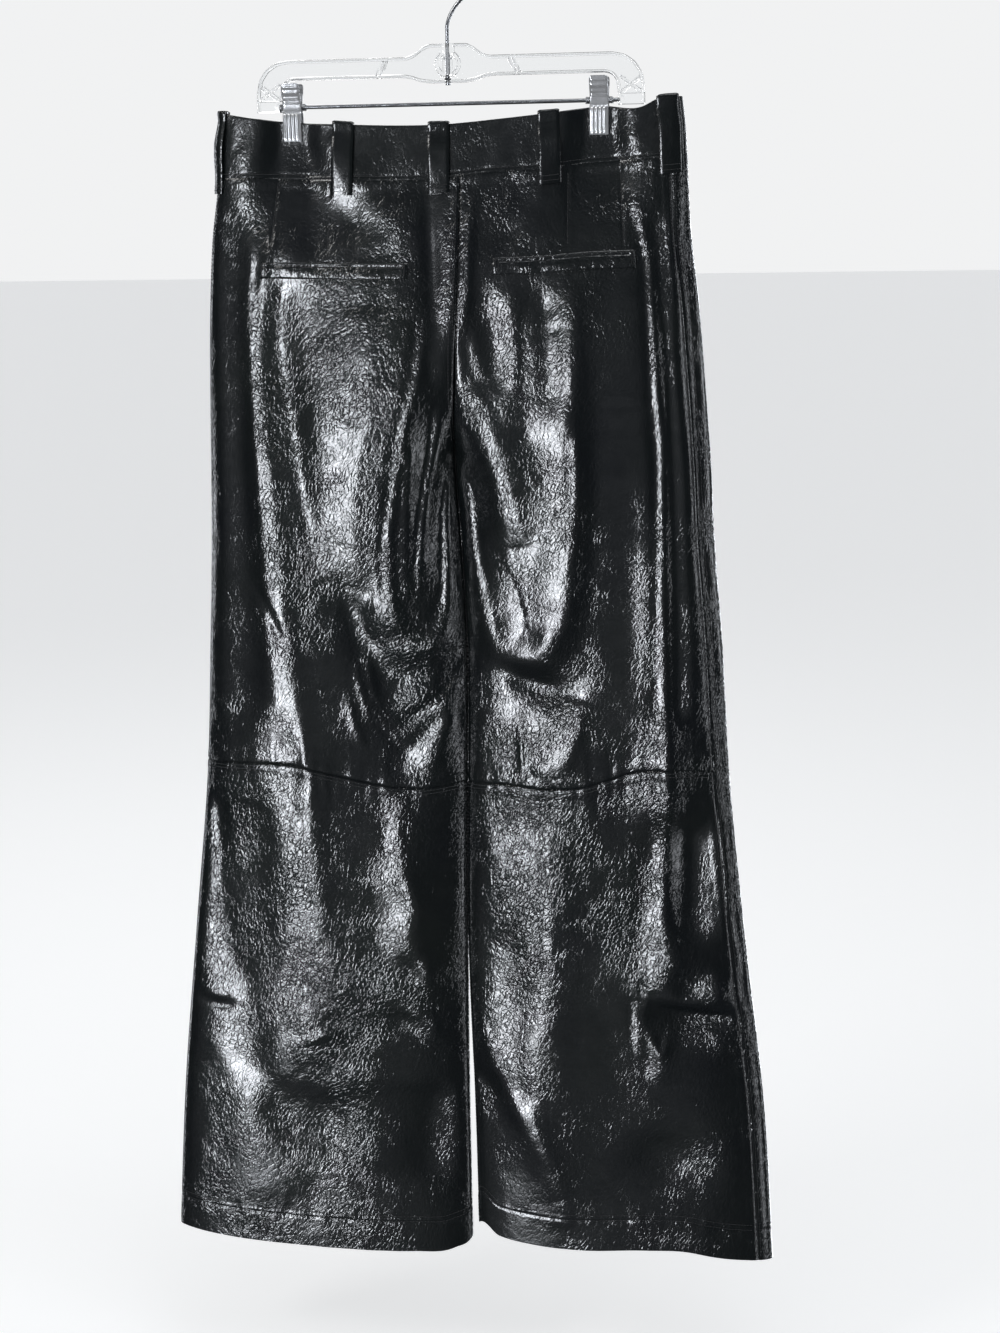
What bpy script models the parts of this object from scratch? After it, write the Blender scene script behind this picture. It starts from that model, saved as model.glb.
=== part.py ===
"""Faux leather wide-leg trousers, hung flat by the waist from a clear clip hanger.

The photographed side, the back of the trousers, faces -Y, and +X is to its right.
The origin is where the hanger's hook rests on a rail. Sizes are in millimetres,
and MM turns them into Blender's metres. A drop is a distance below the origin.
"""

import math

import bpy
import numpy as np

MM = 0.001
LEFT, RIGHT = -1, 1

# Cloth
CLOTH = 1.5  # wall of a panel
BAND = 2.5  # wall of the doubled waistband
SEAM_GAP = 0.3  # between two sewn pieces
LAID_GAP = 0.4  # between a panel and what is sewn on it
BAND_MIDDLE, WAIST, CROTCH, KNEE, HEM = 180.0, 206.0, 462.0, 772.0, 1272.0  # drops
WAIST_FADE, HEM_FADE = 420.0, 1080.0  # the drops to which the waist seam's and the hem's curves reach
KNEE_FADE = 130.0  # how far above and below it the knee seam's curve reaches
CROTCH_START, CROTCH_END = 300.0, 580.0  # where the seat starts to part into legs, and has done so
CROTCH_REACH = 0.36  # share of a half's width over which the centre seam turns under
CROTCH_CLEAR = 4.0  # the two halves are held apart down to this far above the crotch
SEAM_SETBACK = {LEFT: 0.0, RIGHT: 14.0}  # how far the side seam lies in on the back
HALF_WIDTH, HALF_TOP = 220.0, 215.0  # about half the width below the waist, and at the top edge
EDGE_RADIUS, EDGE_SHARE = 2.6, 0.12  # the side's fold: a radius, and the share of the depth added to it
LEG_ROUNDNESS = 2.5  # 2 for an oval leg, more for a boxier one

# One row for each level of the cloth. side: from the centre line out to the edge.
# inner: the centre seam, and below the crotch the line where the legs meet.
SECTION_COLUMNS = ("drop", "left_side", "right_side", "inner", "leg_gap", "back_depth", "front_depth")
SECTIONS = (
    (140, 213, 213, 11, 0.3, 7.5, 7.0),
    (172, 217, 216, 11, 0.3, 9.5, 8.5),
    (206, 219, 218, 11, 0.3, 13, 11),
    (260, 227, 221, 10, 0.3, 20, 15),
    (320, 232, 228, 8, 0.3, 26, 18),
    (400, 236, 235, 4, 0.3, 31, 21),
    (462, 238, 240, 0, 0.3, 33, 22),
    (540, 241, 244, 4, 0.3, 31, 22),
    (640, 247, 252, 8, 0.3, 29, 22),
    (772, 256, 260, 6, 0.3, 27, 21),
    (940, 276, 277, 3, 0.3, 25, 20),
    (1110, 296, 297, 4, 5.0, 24, 20),
    (1290, 311, 308, 5, 7.0, 23, 19),
)

# The long seams' curves, as points of (across, drop)
TOP_EDGE = (
    (-214, 148), (-190, 152), (-147, 157), (-97, 160), (-7, 162), (50, 158),
    (94, 154), (125, 150.5), (139, 149), (181, 149.5), (190, 145), (214, 142),
)
WAIST_SEAM = (
    (-218, 205), (-160, 206), (-112, 208), (-19, 209), (36, 204), (83, 202),
    (131, 197), (179, 195), (218, 192),
)
KNEE_SEAM = (
    (-256, 766), (-150, 766), (-125, 772), (-96, 779), (-67, 784), (-38, 786), (0, 782),
    (41, 780), (91, 782), (121, 779), (150, 770), (170, 763), (198, 760), (255, 765),
)
HEM_EDGE = (
    (-310, 1270), (-252, 1274), (-98, 1279), (-57, 1279), (-15, 1276), (1, 1267), (8, 1252),
    (31, 1259), (69, 1264), (116, 1265), (184, 1261), (225, 1261), (252, 1266), (307, 1272),
)
FRONT_TOP_DROP = 3.0  # the front's top edge hangs this much lower at the middle

# The hanger's clips, which pinch the band flat
CLIPS = {"left": -145.8, "right": 138.0}
PINCHED = 3.0  # half the cloth's depth between the jaws
PINCH_HALF, PINCH_FADE = 11.0, 13.0  # half the width pinched flat, and how softly it opens beside it
PINCH_TOP, PINCH_DROP, PINCH_SPREAD = 176.0, 120.0, 40.0  # from this drop, it opens and widens below

# The largest folds. Each is a soft ridge, or a trough where its height is negative.
# Columns: the side of the trousers, height, width, and a line of (across, drop) points.
FOLDS = (
    ("back", 9, 26, ((-187, 330), (-184, 430), (-176, 545), (-168, 650), (-152, 770), (-158, 900), (-150, 1060))),
    ("back", -6, 17, ((-176, 300), (-160, 410), (-146, 500), (-128, 580))),
    ("back", 8, 38, ((-118, 325), (-112, 410), (-118, 500), (-120, 580))),
    ("back", 9, 20, ((-30, 330), (-44, 422), (-60, 500), (-69, 561),
                     (-65, 620), (-45, 641), (-24, 630), (-10, 598))),
    ("back", -8, 20, ((-12, 660), (-45, 672), (-85, 650), (-98, 600), (-90, 540))),
    ("back", 7, 18, ((-62, 742), (-30, 712), (0, 680))),
    ("back", 8, 22, ((8, 400), (32, 440), (50, 490), (58, 552))),
    ("back", 9, 22, ((98, 340), (112, 410), (116, 480), (106, 560),
                     (102, 615), (85, 646), (55, 648), (30, 615))),
    ("back", -9, 22, ((20, 662), (60, 682), (105, 676), (135, 620), (150, 520), (155, 400))),
    ("back", 10, 22, ((168, 240), (184, 320), (190, 440), (195, 560), (196, 700), (196, 860), (200, 960))),
    ("back", 6, 20, ((118, 690), (108, 735), (80, 775))),
    ("back", 7, 24, ((-62, 850), (-48, 940), (-46, 1010))),
    ("back", 8, 15, ((178, 975), (225, 985), (268, 988))),
    ("back", -7, 13, ((180, 1004), (225, 1011), (266, 1012))),
    ("back", 6, 16, ((16, 1015), (50, 1095), (85, 1175), (98, 1215))),
    ("back", -4, 26, ((-215, 820), (-225, 960), (-228, 1120))),
    ("front", 8, 26, ((-150, 330), (-152, 500), (-148, 700), (-150, 900), (-160, 1130))),
    ("front", 8, 26, ((140, 330), (146, 500), (150, 700), (156, 900), (166, 1130))),
    ("front", -6, 24, ((-70, 420), (-78, 560), (-72, 700))),
    ("front", -6, 24, ((78, 420), (84, 560), (78, 700))),
    ("front", 6, 20, ((-205, 380), (-208, 560), (-214, 760))),
    ("front", 6, 20, ((206, 380), (210, 560), (218, 760))),
)

# Rows of points down a panel, by drop, close together where the crotch turns under
UPPER_ROWS = (
    206, 228, 252, 283, 298, 322, 348, 374, 400, 420, 436, 448, 456, 460.5, 462, 464, 470, 484,
    506, 532, 560, 588, 616, 642, 668, 696, 724, 750, 772,
)
LOWER_ROWS = (
    772, 800, 830, 862, 894, 926, 954, 978, 990, 1004, 1018, 1044, 1080, 1116, 1156, 1196, 1236, 1272,
)
BACK_COLUMNS, FRONT_COLUMNS = 16, 13
TURN_STEPS = 241  # how finely a place across is looked up

# Back pockets: single welts, with their ends across and their rows in UPPER_ROWS
WELT_TOP, WELT_BOTTOM = 283, 298
WELT_ENDS = {"left": (-176, -37), "right": (42, 171)}
WELT = 1.6

# Belt loops: the middle across, on the back or the front. The side loops sit on the side seams.
LOOP_WIDTH = 19.5
BACK_LOOPS = {"back_left": -97.5, "back_centre": -8.0, "back_right": 93.5}
FRONT_LOOPS = {"front_left": -104.0, "front_right": 104.0}
# The loop's strip from its sewn foot, up over the band's top edge. Columns: where on
# the band a row is measured from, then how far its inner face stands out from the
# cloth and above that place, and the same for its outer face.
LOOP_PATH = (
    ("seam", 1.3, -15.0, 3.1, -15.0),
    ("seam", 1.3, -9.0, 3.3, -9.0),
    ("seam", 1.6, 2.0, 3.7, 2.0),
    ("middle", 2.7, 0.0, 4.8, 0.0),
    ("top", 1.5, -7.0, 3.6, -7.0),
    ("top", 0.7, 0.7, 2.6, 2.8),
    ("top", -2.6, 0.7, -2.6, 2.8),
)

# Fly: the flap on the hidden front, and the button above it
FLY_WIDTH, FLY_ROWS, FLY = 38.0, (206, 374), 1.3
TAB = 27.0  # the left front band laps over the right one by this much
TAB_RAMP = (-13.0, -3.0)  # where it starts to rise over it, and has done so, from the centre seam
BUTTON_RADIUS, BUTTON_THICK, BUTTON_ACROSS = 8.5, 3.0, 12.0

# Clip hanger: an I-shaped bar, with RIB where its web is thick. HALF_BAR runs from the
# hub out to the end of the arm, and each row is a cut across the bar. Columns: across
# and drop of its upper or outer edge, of its lower or inner edge, and half its web.
RAIL, RAIL_DEPTH, WEB, RIB = 3.0, 4.0, 1.1, 3.6
HUB_TOP = 91.0
HALF_BAR = (
    (0.0, HUB_TOP, 0.0, 125.5, RIB),
    (6.0, HUB_TOP, 6.0, 125.5, RIB),
    (6.6, HUB_TOP, 6.6, 125.5, WEB),
    (18.0, 91.2, 16.0, 125.5, WEB),
    (24.0, 94.2, 26.0, 124.0, WEB),
    (31.0, 99.6, 34.0, 121.2, WEB),
    (38.0, 102.0, 42.0, 120.0, WEB),
    (54.0, 102.0, 61.0, 120.0, WEB),
    (54.5, 102.0, 61.5, 120.0, RIB),
    (57.0, 102.0, 64.0, 120.0, RIB),
    (57.5, 102.0, 64.5, 120.0, WEB),
    (100.0, 102.0, 100.0, 120.0, WEB),
    (150.0, 102.0, 143.0, 120.0, WEB),
    (161.1, 104.2, 147.2, 120.8, WEB),
    (170.5, 110.5, 150.8, 123.2, WEB),
    (176.8, 119.9, 153.2, 126.8, WEB),
    (179.0, 131.0, 154.0, 131.0, WEB),
    (179.0, 137.6, 155.0, 137.6, WEB),
    (179.0, 138.2, 155.0, 138.2, RIB),
    (179.0, 148.0, 155.0, 148.0, RIB),
)
HOOK_WIRE, HOOK_RADIUS = 1.7, 29.0
HOOK_START, HOOK_SWEEP = -58.0, 205.0  # degrees round its ring, from where the neck joins it
HOOK_NECK, NECK_CURVE = 77.0, 12.0  # the drop where the stem starts to bend, and how gently
ROD_RADIUS, ROD_DROP, ROD_HALF = 1.75, 143.8, 154.6
JAW_WIDTH, JAW = 17.0, 1.3
# The inner face of a jaw, from its thumb end down to its lip
JAW_PATH = ((8.6, 122.5), (6.2, 131.0), (2.5, 138.8), (2.3, 147.2), (4.3, 151.5), (4.0, 168.0), (3.4, 174.5))

COLOURS = {  # base colour, roughness, metallic
    "faux_leather": ((0.012, 0.012, 0.014), 0.28, 0.0),
    "clear_plastic": ((0.86, 0.88, 0.90), 0.08, 0.0),
    "chrome": ((0.78, 0.79, 0.81), 0.12, 1.0),
    "steel": ((0.62, 0.63, 0.65), 0.25, 1.0),
    "button": ((0.02, 0.02, 0.022), 0.35, 0.0),
}


def material(name):
    """The named finish, made once."""
    if name in bpy.data.materials:
        return bpy.data.materials[name]
    colour, roughness, metallic = COLOURS[name]
    made = bpy.data.materials.new(name)
    made.use_nodes = True
    shader = made.node_tree.nodes["Principled BSDF"]
    shader.inputs["Base Color"].default_value = (*colour, 1.0)
    shader.inputs["Roughness"].default_value = roughness
    shader.inputs["Metallic"].default_value = metallic
    return made


def facing_out(points, faces):
    """The faces of a closed shape, turned to face outwards."""
    fans = np.array([(face[0], b, c) for face in faces for b, c in zip(face[1:], face[2:])])
    return faces if np.linalg.det(points[fans]).sum() > 0 else [face[::-1] for face in faces]


def add_object(name, points, faces, finish, smooth=True):
    """A mesh object of points in millimetres, with x, y and height above the origin."""
    faces = facing_out(points, faces)
    mesh = bpy.data.meshes.new(name)
    mesh.from_pydata([tuple(float(c) * MM for c in point) for point in points], [], faces)
    mesh.materials.append(material(finish))
    if smooth:
        mesh.shade_smooth()
        mesh.set_sharp_from_angle(angle=math.radians(40))
    made = bpy.data.objects.new(name, mesh)
    bpy.context.scene.collection.objects.link(made)
    return made


# The cloth's surface ------------------------------------------------------------


def rounded(at, places, values):
    """A table's value at any place, on a smooth line through its rows."""
    slopes = np.gradient(values, places)
    i = np.clip(np.searchsorted(places, at) - 1, 0, len(places) - 2)
    step = places[i + 1] - places[i]
    t = np.clip((at - places[i]) / step, 0, 1)
    a, b = values[i], values[i + 1]
    return a + (b - a) * ease(t) + step * t * (1 - t) * ((1 - t) * slopes[i] - t * slopes[i + 1])


def along(table, at):
    """A height read across one of the seam tables."""
    rows = np.array(table, float)
    return rounded(at, rows[:, 0], rows[:, 1])


def level(column, drop):
    """A column of SECTIONS at any drop."""
    rows = np.array(SECTIONS, float)
    return rounded(drop, rows[:, 0], rows[:, SECTION_COLUMNS.index(column)])


def ease(part):
    part = np.clip(part, 0, 1)
    return part * part * (3 - 2 * part)


def parted(row):
    """0 where front and back hang as one tube, 1 where there are two legs."""
    return ease((row - CROTCH_START) / (CROTCH_END - CROTCH_START))


def turned_under(row, share):
    """The same near the centre seam, which turns sharply under to the crotch."""
    sharp = 1 - np.sqrt(1 - np.clip((row - CROTCH_START) / (CROTCH - CROTCH_START), 0, 1) ** 2)
    return sharp + (parted(row) - sharp) * ease(share / CROTCH_REACH)


def smooth_line(points, pieces=6):
    """The points of a fold's line, rounded."""
    points = np.array(points, float)
    ends = np.vstack([2 * points[0] - points[1], points, 2 * points[-1] - points[-2]])
    steps = np.linspace(0, 1, pieces, endpoint=False)[:, None]
    runs = []
    for a, b, c, d in zip(ends, ends[1:], ends[2:], ends[3:]):
        runs.append(0.5 * (2 * b + (c - a) * steps + (2 * a - 5 * b + 4 * c - d) * steps**2
                           + (3 * b - 3 * c + d - a) * steps**3))
    return np.vstack([*runs, points[-1:]])


def fold_rise(side, across, drop):
    """How far all the folds of the front or the back lift the cloth there."""
    rise = np.zeros(np.shape(across))
    for (fold_side, height, width, _), line in zip(FOLDS, FOLD_LINES):
        if fold_side != side:
            continue
        low, high = line.min(axis=0) - 3 * width, line.max(axis=0) + 3 * width
        near = (across > low[0]) & (across < high[0]) & (drop > low[1]) & (drop < high[1])
        if not near.any():
            continue
        place = np.stack([across[near], drop[near]], -1)[:, None]
        step = np.diff(line, axis=0)
        length = np.linalg.norm(step, axis=1)
        part = np.clip(((place - line[:-1]) * step).sum(-1) / length**2, 0, 1)
        away = np.linalg.norm(place - line[:-1] - part[..., None] * step, axis=-1)
        nearest = away.argmin(axis=1)
        chosen = np.arange(len(nearest)), nearest
        run = (np.cumsum(length) - length)[nearest] + part[chosen] * length[nearest]
        taper = np.sin(np.pi * np.clip(run / length.sum(), 0.02, 0.98)) ** 0.5
        rise[near] += height * taper * np.exp(-((away[chosen] / width) ** 2))
    return rise


FOLD_LINES = [smooth_line(line) for *_, line in FOLDS]


def pinch(across, drop):
    """1 between a clip's jaws, 0 well away from them."""
    held = np.zeros(np.shape(across))
    below = np.clip((drop - PINCH_TOP) / PINCH_DROP, 0, 1)
    for middle in CLIPS.values():
        off = np.maximum(np.abs(across - middle) - PINCH_HALF, 0)
        held = np.maximum(held, np.exp(-((off / (PINCH_FADE + PINCH_SPREAD * below)) ** 2)) * (1 - below) ** 1.5)
    return held


def place(half, turn, row):
    """Where a point of the cloth lies across and down, and its share of the way to the side.

    half is LEFT or RIGHT. turn runs from 0 at the centre back, or the inseam, through
    1 at the side edge to 2 at the centre front. row is the drop before the seams' curves.
    """
    back = turn <= 1
    out = np.where(back, turn, 2 - turn)
    legs = parted(row)
    share = (1 - legs) * np.sin(out * math.pi / 2) + legs * (1 - np.cos(math.pi * out)) / 2
    side = "right_side" if half == RIGHT else "left_side"
    start = level("inner", row) + half * level("leg_gap", row) / 2
    across = start + (half * level(side, row) - start) * share
    drop = row + seam_shift(across, row, back)
    across = start + (half * level(side, drop) - start) * share
    return across, drop, share


def cloth_point(half, turn, row):
    """A point of the cloth's outer face, as x, y and height."""
    turn, row = np.broadcast_arrays(np.asarray(turn, float), np.asarray(row, float))
    back = turn <= 1
    across, drop, share = place(half, turn, row)
    legs = turned_under(row, share)
    depth = np.where(back, level("back_depth", drop), level("front_depth", drop))
    roundness = 2 * HALF_WIDTH * (EDGE_RADIUS + EDGE_SHARE * depth) / depth**2
    full = np.sqrt(np.clip(1 - share**roundness, 0, 1))
    leg = np.sqrt(np.clip(1 - np.abs(2 * share - 1) ** LEG_ROUNDNESS, 0, 1))
    bulge = (1 - legs) * full + legs * leg
    held = pinch(across, drop)
    rise = np.zeros(across.shape)
    for side, there in (("back", back), ("front", ~back)):
        rise[there] = fold_rise(side, across[there], drop[there])
    depth = depth * bulge + rise * (1 - held) * np.sqrt(bulge)
    depth = depth * (1 - held) + PINCHED * held * bulge**0.5
    return np.stack([across, np.where(back, -depth, depth), -drop], -1)


def seam_shift(across, row, back):
    """How far the curves of the waist seam, knee seam and hem move a row down there."""
    at_waist = np.clip((WAIST_FADE - row) / (WAIST_FADE - WAIST), 0, 1)
    at_knee = np.clip(1 - np.abs(row - KNEE) / KNEE_FADE, 0, 1) * back
    at_hem = np.clip((row - HEM_FADE) / (HEM - HEM_FADE), 0, 1)
    shift = at_waist * (along(WAIST_SEAM, across) - WAIST)
    shift += at_knee * (along(KNEE_SEAM, across) - KNEE)
    return shift + at_hem * (along(HEM_EDGE, across) - HEM)


def outward(half, turn, row):
    """The unit normal of the cloth's outer face."""
    turn, row = np.broadcast_arrays(np.asarray(turn, float), np.asarray(row, float))
    step = 0.004
    before, after = np.maximum(turn - step, 0), np.minimum(turn + step, 2)
    around = cloth_point(half, after, row) - cloth_point(half, before, row)
    down = cloth_point(half, turn, row + 1.0) - cloth_point(half, turn, row - 1.0)
    normal = np.cross(down, around) * half
    return normal / np.linalg.norm(normal, axis=-1, keepdims=True)


def turn_at(half, across, row, back=True):
    """The turn whose point lies that far across."""
    turns = np.linspace(0 if back else 2, 1, TURN_STEPS)
    reached, _, _ = place(half, turns, np.full(turns.shape, float(row)))
    return float(np.interp(across * half, reached * half, turns))


def seam_turn(half, row):
    """The turn of the side seam."""
    if not SEAM_SETBACK[half]:
        return 1.0
    edge, _, _ = place(half, np.array(1.0), np.array(float(row)))
    return turn_at(half, float(edge) - half * SEAM_SETBACK[half], row)


# Walls -----------------------------------------------------------------------------


def wall_faces(rows, columns):
    """The triangles of a closed wall: an outer grid, an inner one after it, and the rim.

    Both grids are cut along the same diagonals, so that the wall keeps its thickness.
    """
    faces = []
    inside = rows * columns
    for r in range(rows - 1):
        for c in range(columns - 1):
            a = r * columns + c
            b, e, f = a + 1, a + columns + 1, a + columns
            faces += [(a, b, e), (a, e, f)]
            faces += [(inside + e, inside + b, inside + a), (inside + f, inside + e, inside + a)]
    rim = list(range(columns))
    rim += [r * columns + columns - 1 for r in range(1, rows)]
    rim += [(rows - 1) * columns + c for c in range(columns - 2, -1, -1)]
    rim += [r * columns for r in range(rows - 2, 0, -1)]
    for a, b in zip(rim, rim[1:] + rim[:1]):
        faces += [(b, a, a + inside), (b, a + inside, b + inside)]
    return faces


def add_wall(name, outer, inner, finish):
    """A closed wall between two grids of points."""
    rows, columns = outer.shape[:2]
    points = np.vstack([outer.reshape(-1, 3), inner.reshape(-1, 3)])
    return add_object(name, points, wall_faces(rows, columns), finish)


def drawn_in(points, gap):
    """The grid with its four edges drawn in by half a seam's gap."""
    points = points.copy()
    for edge, next_one in ((np.s_[0], np.s_[1]), (np.s_[-1], np.s_[-2])):
        step = points[next_one] - points[edge]
        points[edge] += step * (gap / 2) / np.linalg.norm(step, axis=-1, keepdims=True)
    for edge, next_one in ((0, 1), (-1, -2)):
        step = points[:, next_one] - points[:, edge]
        points[:, edge] += step * (gap / 2) / np.linalg.norm(step, axis=-1, keepdims=True)
    return points


def kept_apart(points, half, back, rows):
    """Points held on their own side of the middle plane and of the centre seam.

    Where the side seam lies in on the back, the columns beside it are left alone.
    """
    points = points.copy()
    clear = SEAM_GAP / 2
    side = -1 if back else 1
    columns = np.s_[: points.shape[1] // 2] if SEAM_SETBACK[half] else np.s_[:]
    near = points[:, columns]
    reach = near[..., 1] * side
    near[..., 1] = np.where(reach < clear, side * clear, near[..., 1])
    centre = level("inner", rows)[:, None]
    crossed = (near[..., 0] - centre) * half < clear
    above = rows[:, None] < CROTCH - CROTCH_CLEAR
    near[..., 0] = np.where(above & crossed, centre + half * clear, near[..., 0])
    return points


def panel(name, half, back, rows, columns):
    """A leg panel, from the centre seam and inseam to the side seam. It returns its grid."""
    rows = np.array(rows, float)
    side_turns = np.array([seam_turn(half, row) for row in rows])
    share = np.linspace(0, 1, columns + 1)[None]
    turns = side_turns[:, None] * share if back else 2 - (2 - side_turns[:, None]) * share
    down = np.repeat(rows[:, None], columns + 1, 1)
    points = cloth_point(half, turns, down)
    normals = outward(half, turns, down)
    outer = drawn_in(points, SEAM_GAP)
    inner = drawn_in(points - normals * CLOTH, SEAM_GAP)
    outer, inner = (kept_apart(grid, half, back, rows) for grid in (outer, inner))
    add_wall(name, outer, inner, "faux_leather")
    return {"rows": rows, "turns": turns, "outer": outer, "normals": normals}


def laid_strip(name, grid, row_range, turn_range, thick):
    """A strip sewn on a panel, made from the panel's own points moved out."""
    chosen = [i for i, row in enumerate(grid["rows"]) if row_range[0] <= row <= row_range[1]]
    low, high = min(turn_range), max(turn_range)
    first = grid["turns"][chosen[0]]
    inside = [c for c, turn in enumerate(first) if low + 0.01 < turn < high - 0.01]
    outer, inner = [], []
    for i in chosen:
        order = np.argsort(grid["turns"][i])
        ends = [np.array([np.interp(t, grid["turns"][i][order], grid[kind][i][order, k]) for k in range(3)])
                for kind in ("outer", "normals") for t in turn_range]
        points = np.vstack([ends[0], grid["outer"][i][inside], ends[1]])
        normals = np.vstack([ends[2], grid["normals"][i][inside], ends[3]])
        inner.append(points + normals * LAID_GAP)
        outer.append(points + normals * (LAID_GAP + thick))
    return add_wall(name, np.array(outer), np.array(inner), "faux_leather")


# The waistband and its loops ----------------------------------------------------------


def band_row(across, rise, back):
    """The drop of a place on the band, where rise is 0 at the waist seam and 1 at the top edge."""
    low = along(WAIST_SEAM, across)
    high = along(TOP_EDGE, across) + (0 if back else FRONT_TOP_DROP * (1 - (across / HALF_TOP) ** 2))
    return low + (high - low) * rise


def band_point(half, turn, rise):
    """A point of the band's outer face, with the outward direction across it."""
    back = turn <= 1
    across = float(place(half, np.array(turn), np.array(BAND_MIDDLE))[0])
    drop = band_row(across, rise, back)
    level_out = outward(half, turn, BAND_MIDDLE) * (1, 1, 0)
    level_out /= np.linalg.norm(level_out)
    row = drop
    for _ in range(4):
        row = drop - float(seam_shift(across, np.array(row), np.array(back)))
    return cloth_point(half, turn, row), level_out


def band_columns(half, low, high, edges, count):
    """Turns across a band from low to high, with the loops' edges among them."""
    even = [t for t in np.linspace(low, high, count) if all(abs(t - e) > 0.012 for e in edges)]
    return [(half, t, 0.0) for t in sorted({low, high, *even, *edges})]


def band_wall(name, columns):
    """A piece of the waistband through these columns of half, turn and lift off the cloth's line."""
    rises = np.linspace(0, 1, 5)
    outer = np.zeros((len(rises), len(columns), 3))
    inner = np.zeros_like(outer)
    for c, (half, turn, lift) in enumerate(columns):
        for r, rise in enumerate(rises):
            point, out = band_point(half, turn, rise)
            outer[r, c] = point + out * lift
            inner[r, c] = point + out * (lift - BAND)
    for grid in (outer, inner):
        grid[0, :, 2] += SEAM_GAP
    outer, inner = side_gap(outer), side_gap(inner)
    return add_wall(name, outer, inner, "faux_leather")


def side_gap(grid):
    """The grid with its two ends drawn in by half a seam's gap."""
    grid = grid.copy()
    for edge, next_one in ((0, 1), (-1, -2)):
        step = grid[:, next_one] - grid[:, edge]
        grid[:, edge] += step * (SEAM_GAP / 2) / np.linalg.norm(step, axis=-1, keepdims=True)
    return grid


def add_loop(name, half, turns):
    """A belt loop over these turns of the band."""
    outer = np.zeros((len(LOOP_PATH), len(turns), 3))
    inner = np.zeros_like(outer)
    rises = {"seam": 0.0, "middle": 0.5, "top": 1.0}
    for c, turn in enumerate(turns):
        for r, (base, inner_out, inner_rise, outer_out, outer_rise) in enumerate(LOOP_PATH):
            point, out = band_point(half, turn, rises[base])
            if base == "seam" and outer_rise < 0:
                point = cloth_point(half, turn, WAIST - outer_rise)
                inner_rise = outer_rise = 0.0
            up = np.array([0.0, 0.0, 1.0])
            inner[r, c] = point + out * inner_out + up * inner_rise
            outer[r, c] = point + out * outer_out + up * outer_rise
    return add_wall(name, outer, inner, "faux_leather")


# Hanger -------------------------------------------------------------------------------


def add_loft(name, rings, finish):
    """A solid through closed rings of points, with flat ends."""
    count = len(rings[0])
    points = np.vstack(rings)
    faces = []
    for r in range(len(rings) - 1):
        for i in range(count):
            j = (i + 1) % count
            a, b = r * count + i, r * count + j
            faces.append((a, b, b + count, a + count))
    last = (len(rings) - 1) * count
    faces.append(tuple(range(count - 1, -1, -1)))
    faces.append(tuple(last + i for i in range(count)))
    return add_object(name, points, faces, finish, smooth=False)


def bar_ring(outer, inner, web):
    """The I-shaped cut across the hanger's bar, from its outer edge to its inner one."""
    outer, inner = np.array(outer), np.array(inner)
    length = np.linalg.norm(inner - outer)
    along_cut = (inner - outer) / length
    front = (
        (0, RAIL_DEPTH), (RAIL, RAIL_DEPTH), (RAIL, web),
        (length - RAIL, web), (length - RAIL, RAIL_DEPTH), (length, RAIL_DEPTH),
    )
    back = tuple((far, -deep) for far, deep in front[::-1])
    ring = []
    for far, deep in front + back:
        at = outer + along_cut * far
        ring.append((at[0], deep, at[1]))
    return ring


def add_hanger_body():
    rings = []
    for sign, rows in ((-1, HALF_BAR[:0:-1]), (1, HALF_BAR)):
        for outer_across, outer_drop, inner_across, inner_drop, web in rows:
            rings.append(bar_ring((sign * outer_across, -outer_drop), (sign * inner_across, -inner_drop), web))
    return add_loft("hanger_body", rings, "clear_plastic")


def add_wire(name, points, radius, finish, resolution):
    """A round wire through points, as a bevelled curve with closed ends."""
    curve = bpy.data.curves.new(name, "CURVE")
    curve.dimensions = "3D"
    curve.bevel_depth = radius * MM
    curve.bevel_resolution = resolution
    curve.use_fill_caps = True
    spline = curve.splines.new("POLY")
    spline.points.add(len(points) - 1)
    for target, point in zip(spline.points, points):
        target.co = (*(float(c) * MM for c in point), 1.0)
    curve.materials.append(material(finish))
    made = bpy.data.objects.new(name, curve)
    bpy.context.scene.collection.objects.link(made)
    return made


def hook_line():
    """The hook's wire: up from the hub, out to the right, and round over the rail."""
    centre = HOOK_WIRE - HOOK_RADIUS  # so that the inside of its crown is the origin
    angles = np.radians(HOOK_START + np.linspace(0, HOOK_SWEEP, 29))
    ring = np.stack([HOOK_RADIUS * np.cos(angles), centre + HOOK_RADIUS * np.sin(angles)], 1)
    stem, neck = np.array((0.0, -HUB_TOP + SEAM_GAP)), np.array((0.0, -HOOK_NECK))
    joining = np.array((-math.sin(angles[0]), math.cos(angles[0])))
    bend = []
    for t in np.linspace(0, 1, 9)[1:-1]:
        rising = neck + np.array((0, NECK_CURVE)) * t
        turning = ring[0] - joining * NECK_CURVE * (1 - t)
        bend.append(rising + (turning - rising) * ease(t))
    return [(across, 0.0, height) for across, height in (stem, neck, *bend, *ring)]


def add_jaw(name, middle, side):
    """One jaw of a clip: a bent strip, side -1 on the back of the cloth and 1 on the front."""
    path = np.array(JAW_PATH)
    tangents = np.gradient(path, axis=0)
    tangents /= np.linalg.norm(tangents, axis=1)[:, None]
    outside = path + np.stack([tangents[:, 1], -tangents[:, 0]], 1) * JAW
    rings = []
    for face_in, face_out in zip(path, outside):
        corners = ((-1, face_in), (1, face_in), (1, face_out), (-1, face_out))
        rings.append([(middle + sign * JAW_WIDTH / 2, side * at[0], -at[1]) for sign, at in corners])
    return add_loft(name, rings, "chrome")


# The trousers ---------------------------------------------------------------------------


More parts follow.
